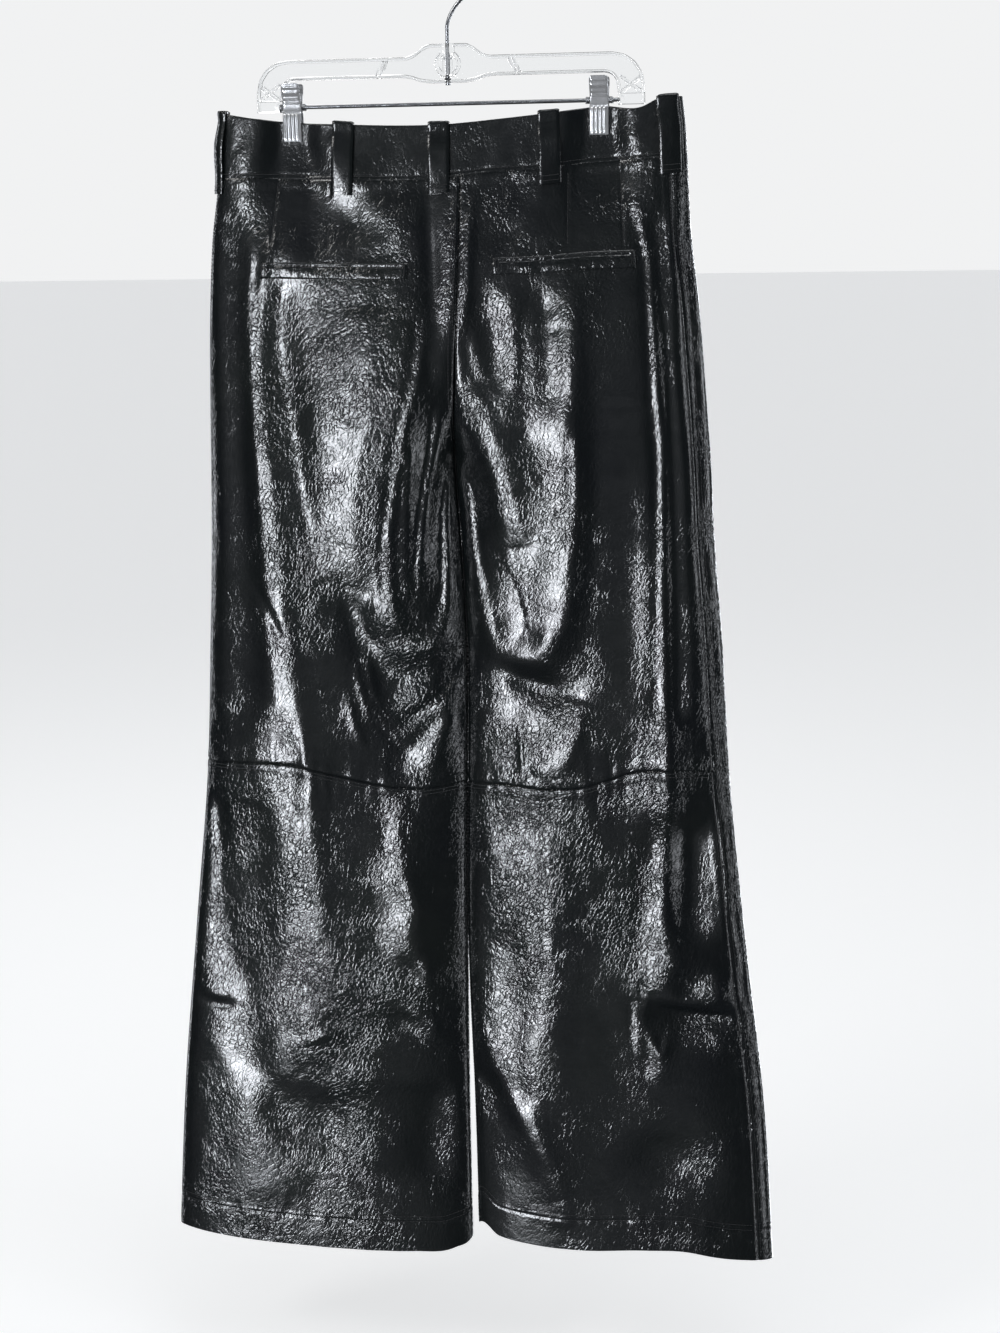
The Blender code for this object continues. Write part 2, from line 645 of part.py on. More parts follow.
def build_legs():
    """The six leg panels, and what is sewn on them."""
    grids = {}
    for half, word in ((LEFT, "left"), (RIGHT, "right")):
        grids[word] = panel(f"back_{word}_upper", half, True, UPPER_ROWS, BACK_COLUMNS)
        panel(f"back_{word}_lower", half, True, LOWER_ROWS, BACK_COLUMNS)
        rows = UPPER_ROWS + LOWER_ROWS[1:]
        grids["front_" + word] = panel(f"front_{word}", half, False, rows, FRONT_COLUMNS)
        ends = sorted(turn_at(half, across, WELT_TOP) for across in WELT_ENDS[word])
        laid_strip(f"pocket_welt_{word}", grids[word], (WELT_TOP, WELT_BOTTOM), ends, WELT)
    fly_end = turn_at(LEFT, level("inner", 250.0) - FLY_WIDTH, 250.0, back=False)
    laid_strip("fly_flap", grids["front_left"], FLY_ROWS, (1.999, fly_end), FLY)


def build_waistband():
    """The band in three pieces, and the seven loops over it."""
    halves = {"left": LEFT, "right": RIGHT}
    reach = LOOP_WIDTH / 2
    side_turns = {word: seam_turn(half, BAND_MIDDLE) for word, half in halves.items()}
    loops = {}
    for name, middle in BACK_LOOPS.items():
        half = RIGHT if middle > level("inner", BAND_MIDDLE) else LEFT
        loops[name] = (half, [turn_at(half, middle + step, BAND_MIDDLE) for step in (-reach, 0, reach)])
    for name, middle in FRONT_LOOPS.items():
        half = RIGHT if middle > 0 else LEFT
        places = [middle + step for step in (-reach, 0, reach)]
        loops[name] = (half, [turn_at(half, across, BAND_MIDDLE, back=False) for across in places])
    for word, half in halves.items():
        loops["side_" + word] = (half, side_loop_turns(half, side_turns[word]))

    backs, fronts = {}, {}
    for word, half in halves.items():
        edges = {t for loop_half, turns in loops.values() for t in turns if loop_half == half}
        pressed = [CLIPS[word] + step for step in (1 - PINCH_HALF, PINCH_HALF - 1)]
        edges |= {turn_at(half, across, BAND_MIDDLE, back) for across in pressed for back in (True, False)}
        seam = side_turns[word]
        backs[word] = band_columns(half, 0.0, seam, [t for t in edges if t < seam - 0.004], 15)
        fronts[word] = band_columns(half, seam, 2.0, [t for t in edges if t > seam + 0.004], 17)
    tab_start = front_turn(LEFT, TAB_RAMP[0] - 1)
    band_wall("waistband_back", backs["left"][::-1] + backs["right"][1:])
    band_wall("waistband_front_right", fronts["right"])
    band_wall("waistband_front_left", [*(c for c in fronts["left"] if c[1] < tab_start), *tab_columns()])
    for name, (half, turns) in loops.items():
        add_loop(f"belt_loop_{name}", half, sorted(turns))


def front_turn(half, step):
    """The turn on the front band, this far across from the centre seam."""
    return turn_at(half, level("inner", BAND_MIDDLE) + step, BAND_MIDDLE, back=False)


def tab_columns():
    """The end of the left front band, which laps over the right one and holds the button."""
    lift = BAND + 1.5 * LAID_GAP
    rising = [(LEFT, front_turn(LEFT, TAB_RAMP[0]), 0.0), (LEFT, front_turn(LEFT, TAB_RAMP[1]), lift)]
    lapped = [(RIGHT, front_turn(RIGHT, TAB * share), lift) for share in (0.35, 0.7, 1)]
    return [*rising, (LEFT, 2.0, lift), *lapped]


def side_loop_turns(half, seam):
    """Turns across a side loop, which wraps the band's edge about the side seam."""
    turns = np.linspace(0.5, 1.5, 2001)
    points = cloth_point(half, turns, BAND_MIDDLE)
    steps = np.linalg.norm(np.diff(points, axis=0), axis=1)
    run = np.concatenate([[0], np.cumsum(steps)])
    middle = np.interp(seam, turns, run)
    places = [middle + share * LOOP_WIDTH for share in (-0.5, -0.3, -0.1, 0.1, 0.3, 0.5)]
    return [float(np.interp(at, run, turns)) for at in places]


def build_button():
    """The waist button, on the front band."""
    point, _ = band_point(RIGHT, front_turn(RIGHT, BUTTON_ACROSS), 0.55)
    rings = []
    for radius, out in ((0.62, 0.0), (0.62, 0.45), (1.0, 0.5), (1.0, 0.8), (0.86, 1.0)):
        depth = point[1] + BAND + 3 * LAID_GAP + BUTTON_THICK * out
        spread = BUTTON_RADIUS * radius
        turns = np.linspace(0, 2 * math.pi, 20, endpoint=False)
        rings.append([(point[0] + spread * math.cos(t), depth, point[2] + spread * math.sin(t)) for t in turns])
    add_loft("waist_button", rings, "button")


def build_hanger():
    """The clear bar, the steel rod and hook, and the two clips."""
    add_hanger_body()
    add_wire("hook", hook_line(), HOOK_WIRE, "steel", resolution=2)
    rod_ends = [(-ROD_HALF, 0, -ROD_DROP), (ROD_HALF, 0, -ROD_DROP)]
    add_wire("rod", rod_ends, ROD_RADIUS, "steel", resolution=3)
    for word, middle in CLIPS.items():
        add_jaw(f"clip_jaw_{word}_back", middle, -1)
        add_jaw(f"clip_jaw_{word}_front", middle, 1)


for old in list(bpy.data.objects):
    bpy.data.objects.remove(old, do_unlink=True)
build_legs()
build_waistband()
build_button()
build_hanger()
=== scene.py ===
import math

import bpy
import numpy as np
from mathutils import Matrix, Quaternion, Vector


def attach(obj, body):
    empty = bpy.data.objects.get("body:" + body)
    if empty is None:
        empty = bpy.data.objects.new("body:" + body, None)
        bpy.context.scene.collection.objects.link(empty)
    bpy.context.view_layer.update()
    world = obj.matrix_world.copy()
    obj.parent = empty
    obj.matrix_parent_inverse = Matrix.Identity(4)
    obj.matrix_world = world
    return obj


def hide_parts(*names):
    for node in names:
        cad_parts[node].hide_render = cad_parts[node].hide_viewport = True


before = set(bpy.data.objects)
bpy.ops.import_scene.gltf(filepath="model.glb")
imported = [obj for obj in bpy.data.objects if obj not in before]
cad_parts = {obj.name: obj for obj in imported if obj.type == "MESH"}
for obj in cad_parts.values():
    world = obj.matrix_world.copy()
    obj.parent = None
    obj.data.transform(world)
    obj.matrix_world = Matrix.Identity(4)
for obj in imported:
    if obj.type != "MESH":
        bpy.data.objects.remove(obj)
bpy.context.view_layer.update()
print("frame loaded,", len(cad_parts), "nodes")

mm = 0.001
left, right = -1, 1  # the two halves, as one sees them from the back

# All the cloth's sizes are in millimetres. A drop is a distance below the hook's rest,
# and a turn runs from 0 at the centre back, through 1 at the side, to 2 at the centre front.
cloth = {
    "wall": 1.3,
    "bandWall": 2.4,
    "gap": 0.3,
    "laidGap": 0.4,
    "bandMiddle": 180.0,
    "waist": 206.0,
    "crotch": 462.0,
    "knee": 772.0,
    "hem": 1272.0,
    "waistFade": 420.0,
    "hemFade": 1080.0,
    "kneeFade": 130.0,
    "crotchStart": 300.0,
    "crotchEnd": 580.0,
    "crotchReach": 0.36,
    "seamSetback": {left: 0.0, right: 14.0},
    "halfWidth": 220.0,
    "halfTop": 215.0,
    "edgeRadius": 2.6,
    "edgeShare": 0.12,
    "legRoundness": 2.5,
    "frontTopDrop": 3.0,
    "clips": (-145.8, 138.0),
    "pinched": 3.0,
    "pinchHalf": 11.0,
    "pinchFade": 13.0,
    "pinchTop": 176.0,
    "pinchDrop": 120.0,
    "pinchSpread": 40.0,
}

# The double rows of stitches: how far each is from its seam or from the hem's edge
sewing = {
    "sideRows": (2.6, 6.2),
    "frontSideRows": (2.6, 6.6),
    "crossRows": (2.4, 5.6),
    "hemRows": (33.0, 38.5),
}

levelColumns = ("drop", "leftSide", "rightSide", "inner", "legGap", "backDepth", "frontDepth")
levels = np.array((
    (140, 213, 213, 11, 0.3, 7.5, 7.0),
    (172, 217, 216, 11, 0.3, 9.5, 8.5),
    (206, 219, 218, 11, 0.3, 13, 11),
    (260, 227, 221, 10, 0.3, 20, 15),
    (320, 232, 228, 8, 0.3, 26, 18),
    (400, 236, 235, 4, 0.3, 31, 21),
    (462, 238, 240, 0, 0.3, 33, 22),
    (540, 241, 244, 4, 0.3, 31, 22),
    (640, 247, 252, 8, 0.3, 29, 22),
    (772, 256, 260, 6, 0.3, 27, 21),
    (940, 276, 277, 3, 0.3, 25, 20),
    (1110, 296, 297, 4, 5.0, 24, 20),
    (1290, 311, 308, 5, 7.0, 23, 19),
), float)

seamLines = {  # (across, drop) along each of the long seams
    "top": ((-214, 148), (-190, 152), (-147, 157), (-97, 160), (-7, 162), (50, 158),
            (94, 154), (125, 150.5), (139, 149), (181, 149.5), (190, 145), (214, 142)),
    "waist": ((-218, 205), (-160, 206), (-112, 208), (-19, 209), (36, 204), (83, 202),
              (131, 197), (179, 195), (218, 192)),
    "knee": ((-256, 766), (-150, 766), (-125, 772), (-96, 779), (-67, 784), (-38, 786), (0, 782),
             (41, 780), (91, 782), (121, 779), (150, 770), (170, 763), (198, 760), (255, 765)),
    "hem": ((-310, 1270), (-252, 1274), (-98, 1279), (-57, 1279), (-15, 1276), (1, 1267), (8, 1252),
            (31, 1259), (69, 1264), (116, 1265), (184, 1261), (225, 1261), (252, 1266), (307, 1272)),
}

# The big folds: side, height, width on each side of the line, how blunt the crest is, and the line.
# Walking down a line, the first width is on the left; walking to the right, it is the lower side.
bigFolds = (
    ("back", 9, 26, 26, 1.35, ((-172, 236), (-187, 330), (-184, 430), (-176, 545), (-168, 650),
                               (-152, 770), (-158, 900), (-150, 1060))),
    ("back", -4.5, 18, 20, 2, ((-170, 300), (-158, 410), (-144, 500), (-128, 580))),
    ("back", 8, 20, 46, 1.6, ((-84, 318), (-84, 410), (-92, 500), (-112, 590))),
    ("back", 9, 20, 20, 1.35, ((-30, 330), (-44, 422), (-60, 500), (-69, 561),
                            (-65, 620), (-45, 641), (-24, 630), (-10, 598))),
    ("back", -8, 20, 20, 1.6, ((-12, 660), (-45, 672), (-85, 650), (-98, 600), (-90, 540))),
    ("back", 7, 18, 18, 1.35, ((-62, 742), (-30, 712), (0, 680))),
    ("back", 8, 22, 22, 1.35, ((8, 400), (32, 440), (50, 490), (58, 552))),
    ("back", 9, 22, 22, 1.35, ((98, 340), (112, 410), (116, 480), (106, 560),
                            (102, 615), (85, 646), (55, 648), (30, 615))),
    ("back", -6, 24, 24, 2.2, ((20, 662), (60, 682), (105, 676), (135, 620), (150, 520), (155, 400))),
    ("back", 10, 22, 22, 1.35, ((168, 240), (184, 320), (190, 440), (195, 560), (196, 700), (196, 860),
                                (200, 960))),
    ("back", 6, 20, 20, 1.35, ((118, 690), (108, 735), (80, 775))),
    ("back", 7, 24, 24, 1.35, ((-62, 850), (-48, 940), (-46, 1010))),
    ("back", 8, 15, 15, 1.35, ((178, 975), (225, 985), (268, 988))),
    ("back", -7, 13, 13, 1.6, ((180, 1004), (225, 1011), (266, 1012))),
    ("back", 6, 16, 16, 1.35, ((16, 1015), (50, 1095), (85, 1175), (98, 1215))),
    ("back", -4, 26, 26, 1.6, ((-215, 820), (-225, 960), (-228, 1120))),
    ("front", 8, 26, 26, 1.5, ((-150, 330), (-152, 500), (-148, 700), (-150, 900), (-160, 1130))),
    ("front", 8, 26, 26, 1.5, ((140, 330), (146, 500), (150, 700), (156, 900), (166, 1130))),
    ("front", -6, 24, 24, 1.5, ((-70, 420), (-78, 560), (-72, 700))),
    ("front", -6, 24, 24, 1.5, ((78, 420), (84, 560), (78, 700))),
    ("front", 6, 20, 20, 1.5, ((-205, 380), (-208, 560), (-214, 760))),
    ("front", 6, 20, 20, 1.5, ((206, 380), (210, 560), (218, 760))),
)

# Creases and crests that lie on them, in the same columns
smallFolds = (
    # left seat and thigh
    ("back", -0.6, 6, 8, 1.5, ((-110, 422), (-90, 427), (-74, 424))),
    ("back", -5.0, 9, 4, 1.1, ((9, 640), (-8, 676), (-16, 692), (-35, 708), (-57, 726))),
    ("back", 1.3, 4, 4, 1.2, ((-106, 690), (-101, 715), (-92, 745))),
    ("back", 1.2, 3, 4, 1.2, ((-96, 664), (-92, 690), (-84, 716))),
    ("back", 1.2, 4, 3, 1.2, ((-88, 650), (-82, 680), (-76, 704))),
    ("back", -1.6, 5, 3, 1.2, ((-190, 585), (-178, 615), (-166, 645))),
    ("back", 1.6, 3, 4, 1.2, ((-166, 262), (-170, 280), (-177, 300))),
    # right seat and thigh
    ("back", -3.0, 12, 9, 1.6, ((35, 665), (66, 676), (100, 690))),
    ("back", 1.6, 2, 3, 1.2, ((61, 716), (62, 745), (63, 776))),
    # centre back
    ("back", -2.6, 7, 6, 1.4, ((-19, 211), (-17, 260), (-14, 319), (-8, 372))),
    ("back", 2.0, 3, 4, 1.3, ((23, 226), (20, 262), (18, 311), (15, 350))),
    # below the knee
    ("back", -3.4, 4, 9, 1.2, ((-278, 1014), (-262, 1019), (-236, 1021))),
    ("back", 2.4, 9, 4, 1.3, ((-272, 1004), (-258, 1009), (-238, 1011))),
    ("back", 2.2, 5, 3, 1.2, ((-160, 1052), (-142, 1044), (-122, 1038))),
    ("back", 4.2, 4, 16, 1.2, ((186, 994), (204, 995), (232, 998), (270, 1000))),
    ("back", -3.0, 8, 3, 1.2, ((188, 1004), (226, 1008), (266, 1011))),
    ("back", 1.6, 4, 4, 1.2, ((182, 1022), (196, 1050), (204, 1030))),
    # the front, which lies against the wall
    ("front", 3.2, 8, 9, 1.3, ((-28, 400), (-52, 446), (-88, 482), (-122, 500))),
    ("front", 3.0, 9, 8, 1.3, ((30, 396), (58, 440), (94, 474), (128, 488))),
    ("front", 2.6, 7, 9, 1.3, ((-18, 462), (-44, 520), (-62, 590), (-60, 650))),
    ("front", 2.6, 9, 7, 1.3, ((20, 466), (42, 530), (58, 600), (54, 668))),
    ("front", -2.6, 7, 7, 1.4, ((-34, 438), (-62, 470), (-96, 492))),
    ("front", -2.6, 7, 7, 1.4, ((38, 432), (66, 464), (100, 486))),
    ("front", 2.6, 10, 7, 1.3, ((-120, 700), (-92, 742), (-54, 760))),
    ("front", 2.6, 7, 10, 1.3, ((60, 744), (96, 730), (128, 690))),
    ("front", 3.2, 5, 14, 1.2, ((-262, 1000), (-226, 992), (-184, 1002))),
    ("front", 2.6, 6, 12, 1.2, ((150, 1032), (196, 1024), (250, 1034))),
)

# Flat places, each along a line of (across, drop, half its width). The first number is how many degrees
# the cloth there is turned from where it mirrors the window, to the right with a minus.
flats = {
    "back": (
        # left edge and its long ridge, which widens into the band down the leg
        (9, ((-208, 230, 10), (-212, 330, 14), (-212, 450, 17), (-212, 560, 17), (-216, 650, 17),
             (-222, 730, 12))),
        (0, ((-169, 205, 2.5), (-175, 245, 2.5), (-185, 290, 2.5), (-186, 340, 2.5), (-185, 400, 3.5),
             (-182, 450, 4.5), (-180, 500, 5), (-175, 550, 6.5), (-174, 600, 7.5), (-171, 650, 10),
             (-169, 700, 14), (-176, 740, 23), (-174, 790, 21), (-166, 820, 17), (-160, 860, 20),
             (-157, 900, 22), (-154, 960, 23), (-143, 1000, 25), (-135, 1030, 20))),
        # left seat
        (2.4, ((-92, 306, 40), (-104, 345, 34), (-110, 408, 26))),
        (0, ((-108, 374, 24), (-107, 400, 26), (-105, 430, 26), (-109, 480, 24), (-116, 540, 16),
             (-118, 585, 7))),
        (0, ((-53, 306, 8), (-57, 340, 5), (-68, 375, 3))),
        (-10, ((-160, 300, 9), (-170, 340, 7), (-167, 400, 11), (-159, 470, 13), (-150, 540, 16),
               (-140, 600, 22),
              (-130, 660, 28), (-124, 720, 28), (-118, 760, 22))),
        (-6.5, ((-46, 345, 11), (-56, 400, 13), (-70, 450, 14), (-80, 500, 16), (-84, 560, 15),
                (-92, 610, 16))),
        # left inner thigh: the hanging fold's two arms, the ridge between and what spreads below
        (0, ((-22, 330, 4), (-28, 365, 4.5), (-34, 400, 5), (-43, 430, 5), (-50, 465, 5.5), (-57, 505, 6),
             (-63, 545, 6), (-64, 590, 6.5), (-61, 620, 7), (-54, 636, 7), (-42, 642, 7), (-25, 636, 6.5),
             (-15, 620, 5), (-11, 595, 4), (-10, 555, 4), (-10, 520, 3.5), (-6, 480, 3))),
        (-10, ((-38, 450, 3), (-42, 480, 5), (-47, 530, 7), (-49, 580, 6), (-46, 606, 5))),
        (0, ((-12, 415, 2.5), (-15, 435, 3.5), (-20, 465, 3), (-26, 495, 3), (-31, 530, 3), (-34, 565, 3),
             (-38, 592, 3))),
        (3, ((-34, 616, 13), (-30, 617, 13))),
        (0.5, ((-40, 655, 30), (-42, 680, 30), (-48, 705, 18), (-57, 722, 7))),
        (1, ((-8, 700, 8), (-25, 730, 13), (-40, 755, 19), (-42, 785, 22))),
        (-8, ((-13, 215, 8), (-14, 300, 9), (-12, 400, 7))),
        # yoke
        (1.2, ((-98, 230, 9), (-80, 240, 14), (-58, 254, 15), (-42, 268, 9))),
        (-9, ((-140, 205, 15), (-138, 300, 15))),
        (-9, ((-100, 213, 8), (-26, 213, 8))),
        (-8, ((-104, 278, 8), (-70, 282, 8))),
        # left leg below the knee
        (1, ((-66, 790, 8), (-67, 830, 8), (-64, 870, 9), (-56, 905, 13), (-50, 930, 13))),
        (2.5, ((-46, 955, 12), (-42, 1000, 11))),
        (1.4, ((-68, 1019, 7), (-46, 1030, 9), (-27, 1040, 7))),
        (0.5, ((-250, 800, 7), (-250, 880, 8), (-253, 930, 14), (-253, 970, 18), (-252, 1003, 17))),
        (3.2, ((-260, 1032, 12), (-262, 1046, 10))),
        (3.2, ((-136, 1072, 25), (-122, 1104, 25))),
        (-4.5, ((-104, 1150, 26), (-96, 1178, 26))),
        (-10, ((-114, 800, 16), (-108, 860, 20), (-98, 930, 18), (-84, 1000, 14))),
        (8, ((-216, 800, 13), (-212, 900, 14), (-204, 980, 12), (-204, 1060, 14), (-200, 1120, 14))),
        (7, ((-264, 1074, 14), (-258, 1120, 22), (-254, 1200, 24))),
        (-8, ((-206, 1090, 14), (-202, 1125, 24), (-186, 1155, 28), (-120, 1175, 18))),
        (-7, ((-150, 1100, 18), (-170, 1180, 22), (-176, 1245, 26))),
        (-6, ((-100, 1215, 20), (-60, 1230, 24))),
        (-7, ((-20, 1090, 12), (-24, 1150, 20), (-26, 1210, 20))),
        # right seat and yoke
        (0, ((70, 214, 9), (87, 231, 10))),
        (1.5, ((80, 247, 6), (62, 263, 6), (50, 276, 5))),
        (-9, ((106, 250, 10), (74, 275, 7))),
        (-9, ((134, 205, 16), (142, 290, 16))),
        (2.6, ((40, 300, 14), (50, 350, 15), (52, 390, 12), (52, 410, 8))),
        (2.2, ((98, 300, 18), (103, 350, 18), (105, 400, 15), (106, 422, 9))),
        (-5, ((74, 330, 6), (75, 380, 7), (73, 412, 5))),
        (0, ((17, 345, 3), (23, 372, 3), (33, 395, 3), (46, 415, 3.5), (56, 432, 4))),
        (0.5, ((9, 412, 4), (19, 430, 4), (31, 447, 3.5), (41, 467, 3.5), (49, 490, 5), (55, 520, 7),
               (60, 550, 8), (68, 580, 13))),
        (0, ((66, 437, 4), (80, 439, 11), (94, 430, 8), (104, 424, 5))),
        (0, ((113, 435, 3.5), (115, 460, 3.5), (115, 490, 5), (111, 520, 8), (108, 550, 9), (101, 580, 13),
             (96, 610, 12), (91, 633, 9))),
        (-6, ((81, 470, 12), (84, 535, 11))),
        (1, ((75, 600, 15), (70, 632, 14))),
        (0, ((9, 478, 2.5), (17, 498, 4), (19, 530, 3), (22, 560, 3), (27, 585, 3.5), (31, 605, 3.5),
             (36, 628, 4), (46, 644, 4.5), (66, 651, 5), (88, 649, 5))),
        (-9, ((42, 674, 8), (70, 682, 10), (96, 690, 6))),
        # right thigh and knee
        (0, ((100, 668, 4), (113, 682, 3.5), (117, 700, 3.5), (114, 722, 4), (106, 742, 5), (96, 757, 6),
             (86, 777, 7))),
        (0, ((30, 738, 10), (30, 748, 10))),
        (3, ((80, 722, 14), (76, 744, 14))),
        (-11, ((150, 290, 22), (151, 400, 26), (152, 500, 27), (152, 600, 27), (150, 700, 26), (142, 780, 25),
              (136, 860, 25), (132, 950, 26))),
        (0, ((162, 205, 4), (168, 230, 3), (175, 257, 3), (182, 285, 3), (185, 330, 3.5), (188, 370, 4),
             (190, 410, 4.5), (194, 450, 5.5), (195, 500, 4.5), (195, 560, 5), (195, 600, 5), (195, 650, 6.5),
             (196, 700, 7.5), (196, 740, 9), (197, 790, 8), (194, 830, 9), (191, 870, 12), (189, 910, 15),
             (190, 950, 18), (194, 978, 18))),
        (-8, ((195, 240, 8), (199, 300, 8), (205, 380, 6), (212, 480, 9), (215, 560, 9), (218, 640, 11),
              (219, 720, 12))),
        # right leg below the knee
        (0.5, ((33, 806, 8), (37, 832, 8), (48, 860, 11), (52, 892, 12))),
        (5, ((58, 925, 14), (62, 990, 18), (58, 1060, 16), (66, 1120, 12))),
        (0, ((62, 800, 2.5), (63, 832, 2.5))),
        (1.5, ((82, 796, 5), (82, 840, 4.5), (84, 900, 4), (86, 960, 4), (85, 1000, 5))),
        (1, ((212, 980, 14), (238, 982, 16), (264, 984, 14))),
        (-9, ((208, 1026, 12), (240, 1030, 16), (264, 1034, 14))),
        (0.8, ((170, 985, 3), (170, 1020, 3), (172, 1060, 3))),
        (3, ((190, 1045, 8), (188, 1080, 9))),
        (0, ((19, 1018, 3), (26, 1042, 5), (37, 1072, 6.5), (51, 1102, 6), (63, 1130, 5), (76, 1160, 3.5),
             (86, 1190, 2.5))),
        (-5, ((178, 1150, 26), (222, 1160, 36), (236, 1215, 34))),
        (-4.5, ((236, 800, 20), (240, 880, 24), (238, 945, 18))),
        (-11, ((132, 990, 24), (138, 1080, 28), (142, 1150, 26))),
        (8, ((12, 1080, 6), (26, 1130, 12), (44, 1190, 20))),
        (-12, ((108, 820, 12), (112, 900, 16), (112, 980, 20), (106, 1060, 22), (112, 1130, 24),
               (116, 1200, 26))),
    ),
    "front": (
        (0, ((-120, 480, 12), (-124, 600, 18), (-120, 740, 20), (-118, 860, 16))),
        (0, ((100, 700, 14), (96, 820, 18), (98, 940, 18), (104, 1040, 12))),
        (0, ((-60, 880, 9), (-56, 980, 12), (-62, 1080, 10))),
        (0, ((150, 300, 4), (158, 420, 5), (160, 560, 8), (166, 700, 11))),
        (0, ((-180, 300, 4), (-186, 420, 5), (-184, 600, 8), (-192, 760, 13), (-200, 900, 15))),
        (7, ((-60, 560, 18), (-64, 700, 18))),
        (7, ((50, 480, 14), (48, 640, 20))),
        (1.5, ((-70, 290, 20), (-66, 360, 14))),
        (1.5, ((74, 290, 18), (80, 380, 12))),
        (8, ((-226, 500, 14), (-232, 800, 14))),
        (0, ((40, 1150, 22), (90, 1190, 22))),
        (0, ((-200, 1150, 22), (-150, 1200, 20))),
    ),
}


def soft(part):
    part = np.clip(part, 0, 1)
    return part * part * (3 - 2 * part)


def bell(off, width, power=2):
    # 1 in the middle, and next to nothing twice its width away
    return np.exp(-((off / width) ** power))


def unit(vectors):
    return vectors / np.maximum(np.linalg.norm(vectors, axis=-1, keepdims=True), 1e-9)


def runAlong(points):
    # how far along a line each of its points is
    return np.concatenate([[0], np.cumsum(np.linalg.norm(np.diff(points, axis=0), axis=1))])


def rounded(at, places, values):
    # a smooth line through a table's rows
    places, values = np.asarray(places, float), np.asarray(values, float)
    slopes = np.gradient(values, places)
    i = np.clip(np.searchsorted(places, at) - 1, 0, len(places) - 2)
    step = places[i + 1] - places[i]
    t = np.clip((at - places[i]) / step, 0, 1)
    a, b = values[i], values[i + 1]
    return a + (b - a) * soft(t) + step * t * (1 - t) * ((1 - t) * slopes[i] - t * slopes[i + 1])


def seamDrop(name, across):
    rows = np.array(seamLines[name], float)
    return rounded(across, rows[:, 0], rows[:, 1])


def level(column, drop):
    return rounded(drop, levels[:, 0], levels[:, levelColumns.index(column)])


def smoothLine(points, pieces=6):
    points = np.array(points, float)
    ends = np.vstack([2 * points[0] - points[1], points, 2 * points[-1] - points[-2]])
    steps = np.linspace(0, 1, pieces, endpoint=False)[:, None]
    runs = []
    for a, b, c, d in zip(ends, ends[1:], ends[2:], ends[3:]):
        bend = (2 * a - 5 * b + 4 * c - d) * steps**2 + (3 * b - 3 * c + d - a) * steps**3
        runs.append(0.5 * (2 * b + (c - a) * steps + bend))
    return np.vstack([*runs, points[-1:]])


bigRuns, smallRuns = ([(fold, smoothLine(fold[5])) for fold in folds] for folds in (bigFolds, smallFolds))


def fromLine(line, across, drop):
    # how far each place is off a line, on which side, the nearest piece of the line,
    # how far along that piece, how far along the whole line, and the line's length
    place = np.stack([across, drop], -1)[:, None]
    start, step = line[:-1, :2], np.diff(line[:, :2], axis=0)
    length = np.linalg.norm(step, axis=1)
    part = np.clip(((place - start) * step).sum(-1) / length**2, 0, 1)
    gone = place - start - part[..., None] * step
    away = np.linalg.norm(gone, axis=-1)
    nearest = away.argmin(axis=1)
    rows = np.arange(len(away))
    gone, step, part = gone[rows, nearest], step[nearest], part[rows, nearest]
    turned = (step[:, 0] * gone[:, 1] - step[:, 1] * gone[:, 0]) / np.maximum(length[nearest], 1)
    run = (np.cumsum(length) - length)[nearest] + part * length[nearest]
    return away[rows, nearest], turned, nearest, part, run, length.sum()


def foldRise(runs, side, across, drop):
    rise = np.zeros(np.shape(across))
    for (foldSide, height, first, second, blunt, _), line in runs:
        if foldSide != side:
            continue
        reach = 3.2 * max(first, second)
        low, high = line.min(axis=0) - reach, line.max(axis=0) + reach
        near = (across > low[0]) & (across < high[0]) & (drop > low[1]) & (drop < high[1])
        if not near.any():
            continue
        away, turned, _, _, run, total = fromLine(line, across[near], drop[near])
        width = second + (first - second) * soft(0.5 + turned / 4)
        taper = np.sin(np.pi * np.clip(run / total, 0.02, 0.98)) ** 0.5
        crest = min(4.5, 0.22 * (first + second))
        off = np.sqrt(away**2 + crest**2) - crest
        rise[near] += height * taper * bell(off, width, blunt)
    return rise


def softNoise(across, drop, cell, seed):
    # smooth random hills, a cell apart, between -1 and 1
    grid = np.random.default_rng(seed).uniform(-1, 1, (int(1600 / cell) + 4, int(2800 / cell) + 4))
    u = np.clip((across + 800) / cell, 0, grid.shape[0] - 2.001)
    v = np.clip((drop + 600) / cell, 0, grid.shape[1] - 2.001)
    i, j = u.astype(int), v.astype(int)
    s, t = soft(u - i), soft(v - j)
    top = grid[i, j] * (1 - s) + grid[i + 1, j] * s
    return top * (1 - t) + (grid[i, j + 1] * (1 - s) + grid[i + 1, j + 1] * s) * t


# Places where the back hangs smoother or is more crumpled than elsewhere:
# change, across, drop, and how far it reaches across and down
handPlaced = (
    (-0.55, 158, 480, 26, 200), (-0.5, 160, 690, 26, 110), (-0.5, 212, 420, 9, 260),
    (-0.45, -212, 430, 14, 200), (-0.4, -98, 560, 16, 110), (-0.35, -140, 690, 30, 70),
    (0.3, -40, 690, 60, 60), (0.15, 70, 790, 90, 40), (0.2, 195, 800, 30, 80), (0.3, -150, 980, 40, 120),
    (-0.3, 130, 1000, 34, 180), (-0.25, 60, 1080, 40, 90), (-0.25, -100, 880, 30, 90),
    (-0.25, -60, 1100, 50, 90), (0.2, -120, 400, 50, 70), (-0.7, -12, 275, 9, 80),
)


def liveliness(side, across, drop):
    amount = 0.75 + 0.3 * softNoise(across, drop, 95, 11 if side == "back" else 12)
    for change, x, z, reachX, reachZ in handPlaced if side == "back" else ():
        amount = amount + change * np.exp(-(((across - x) / reachX) ** 2) - ((drop - z) / reachZ) ** 2)
    return np.clip(amount, 0.12, 1.4)


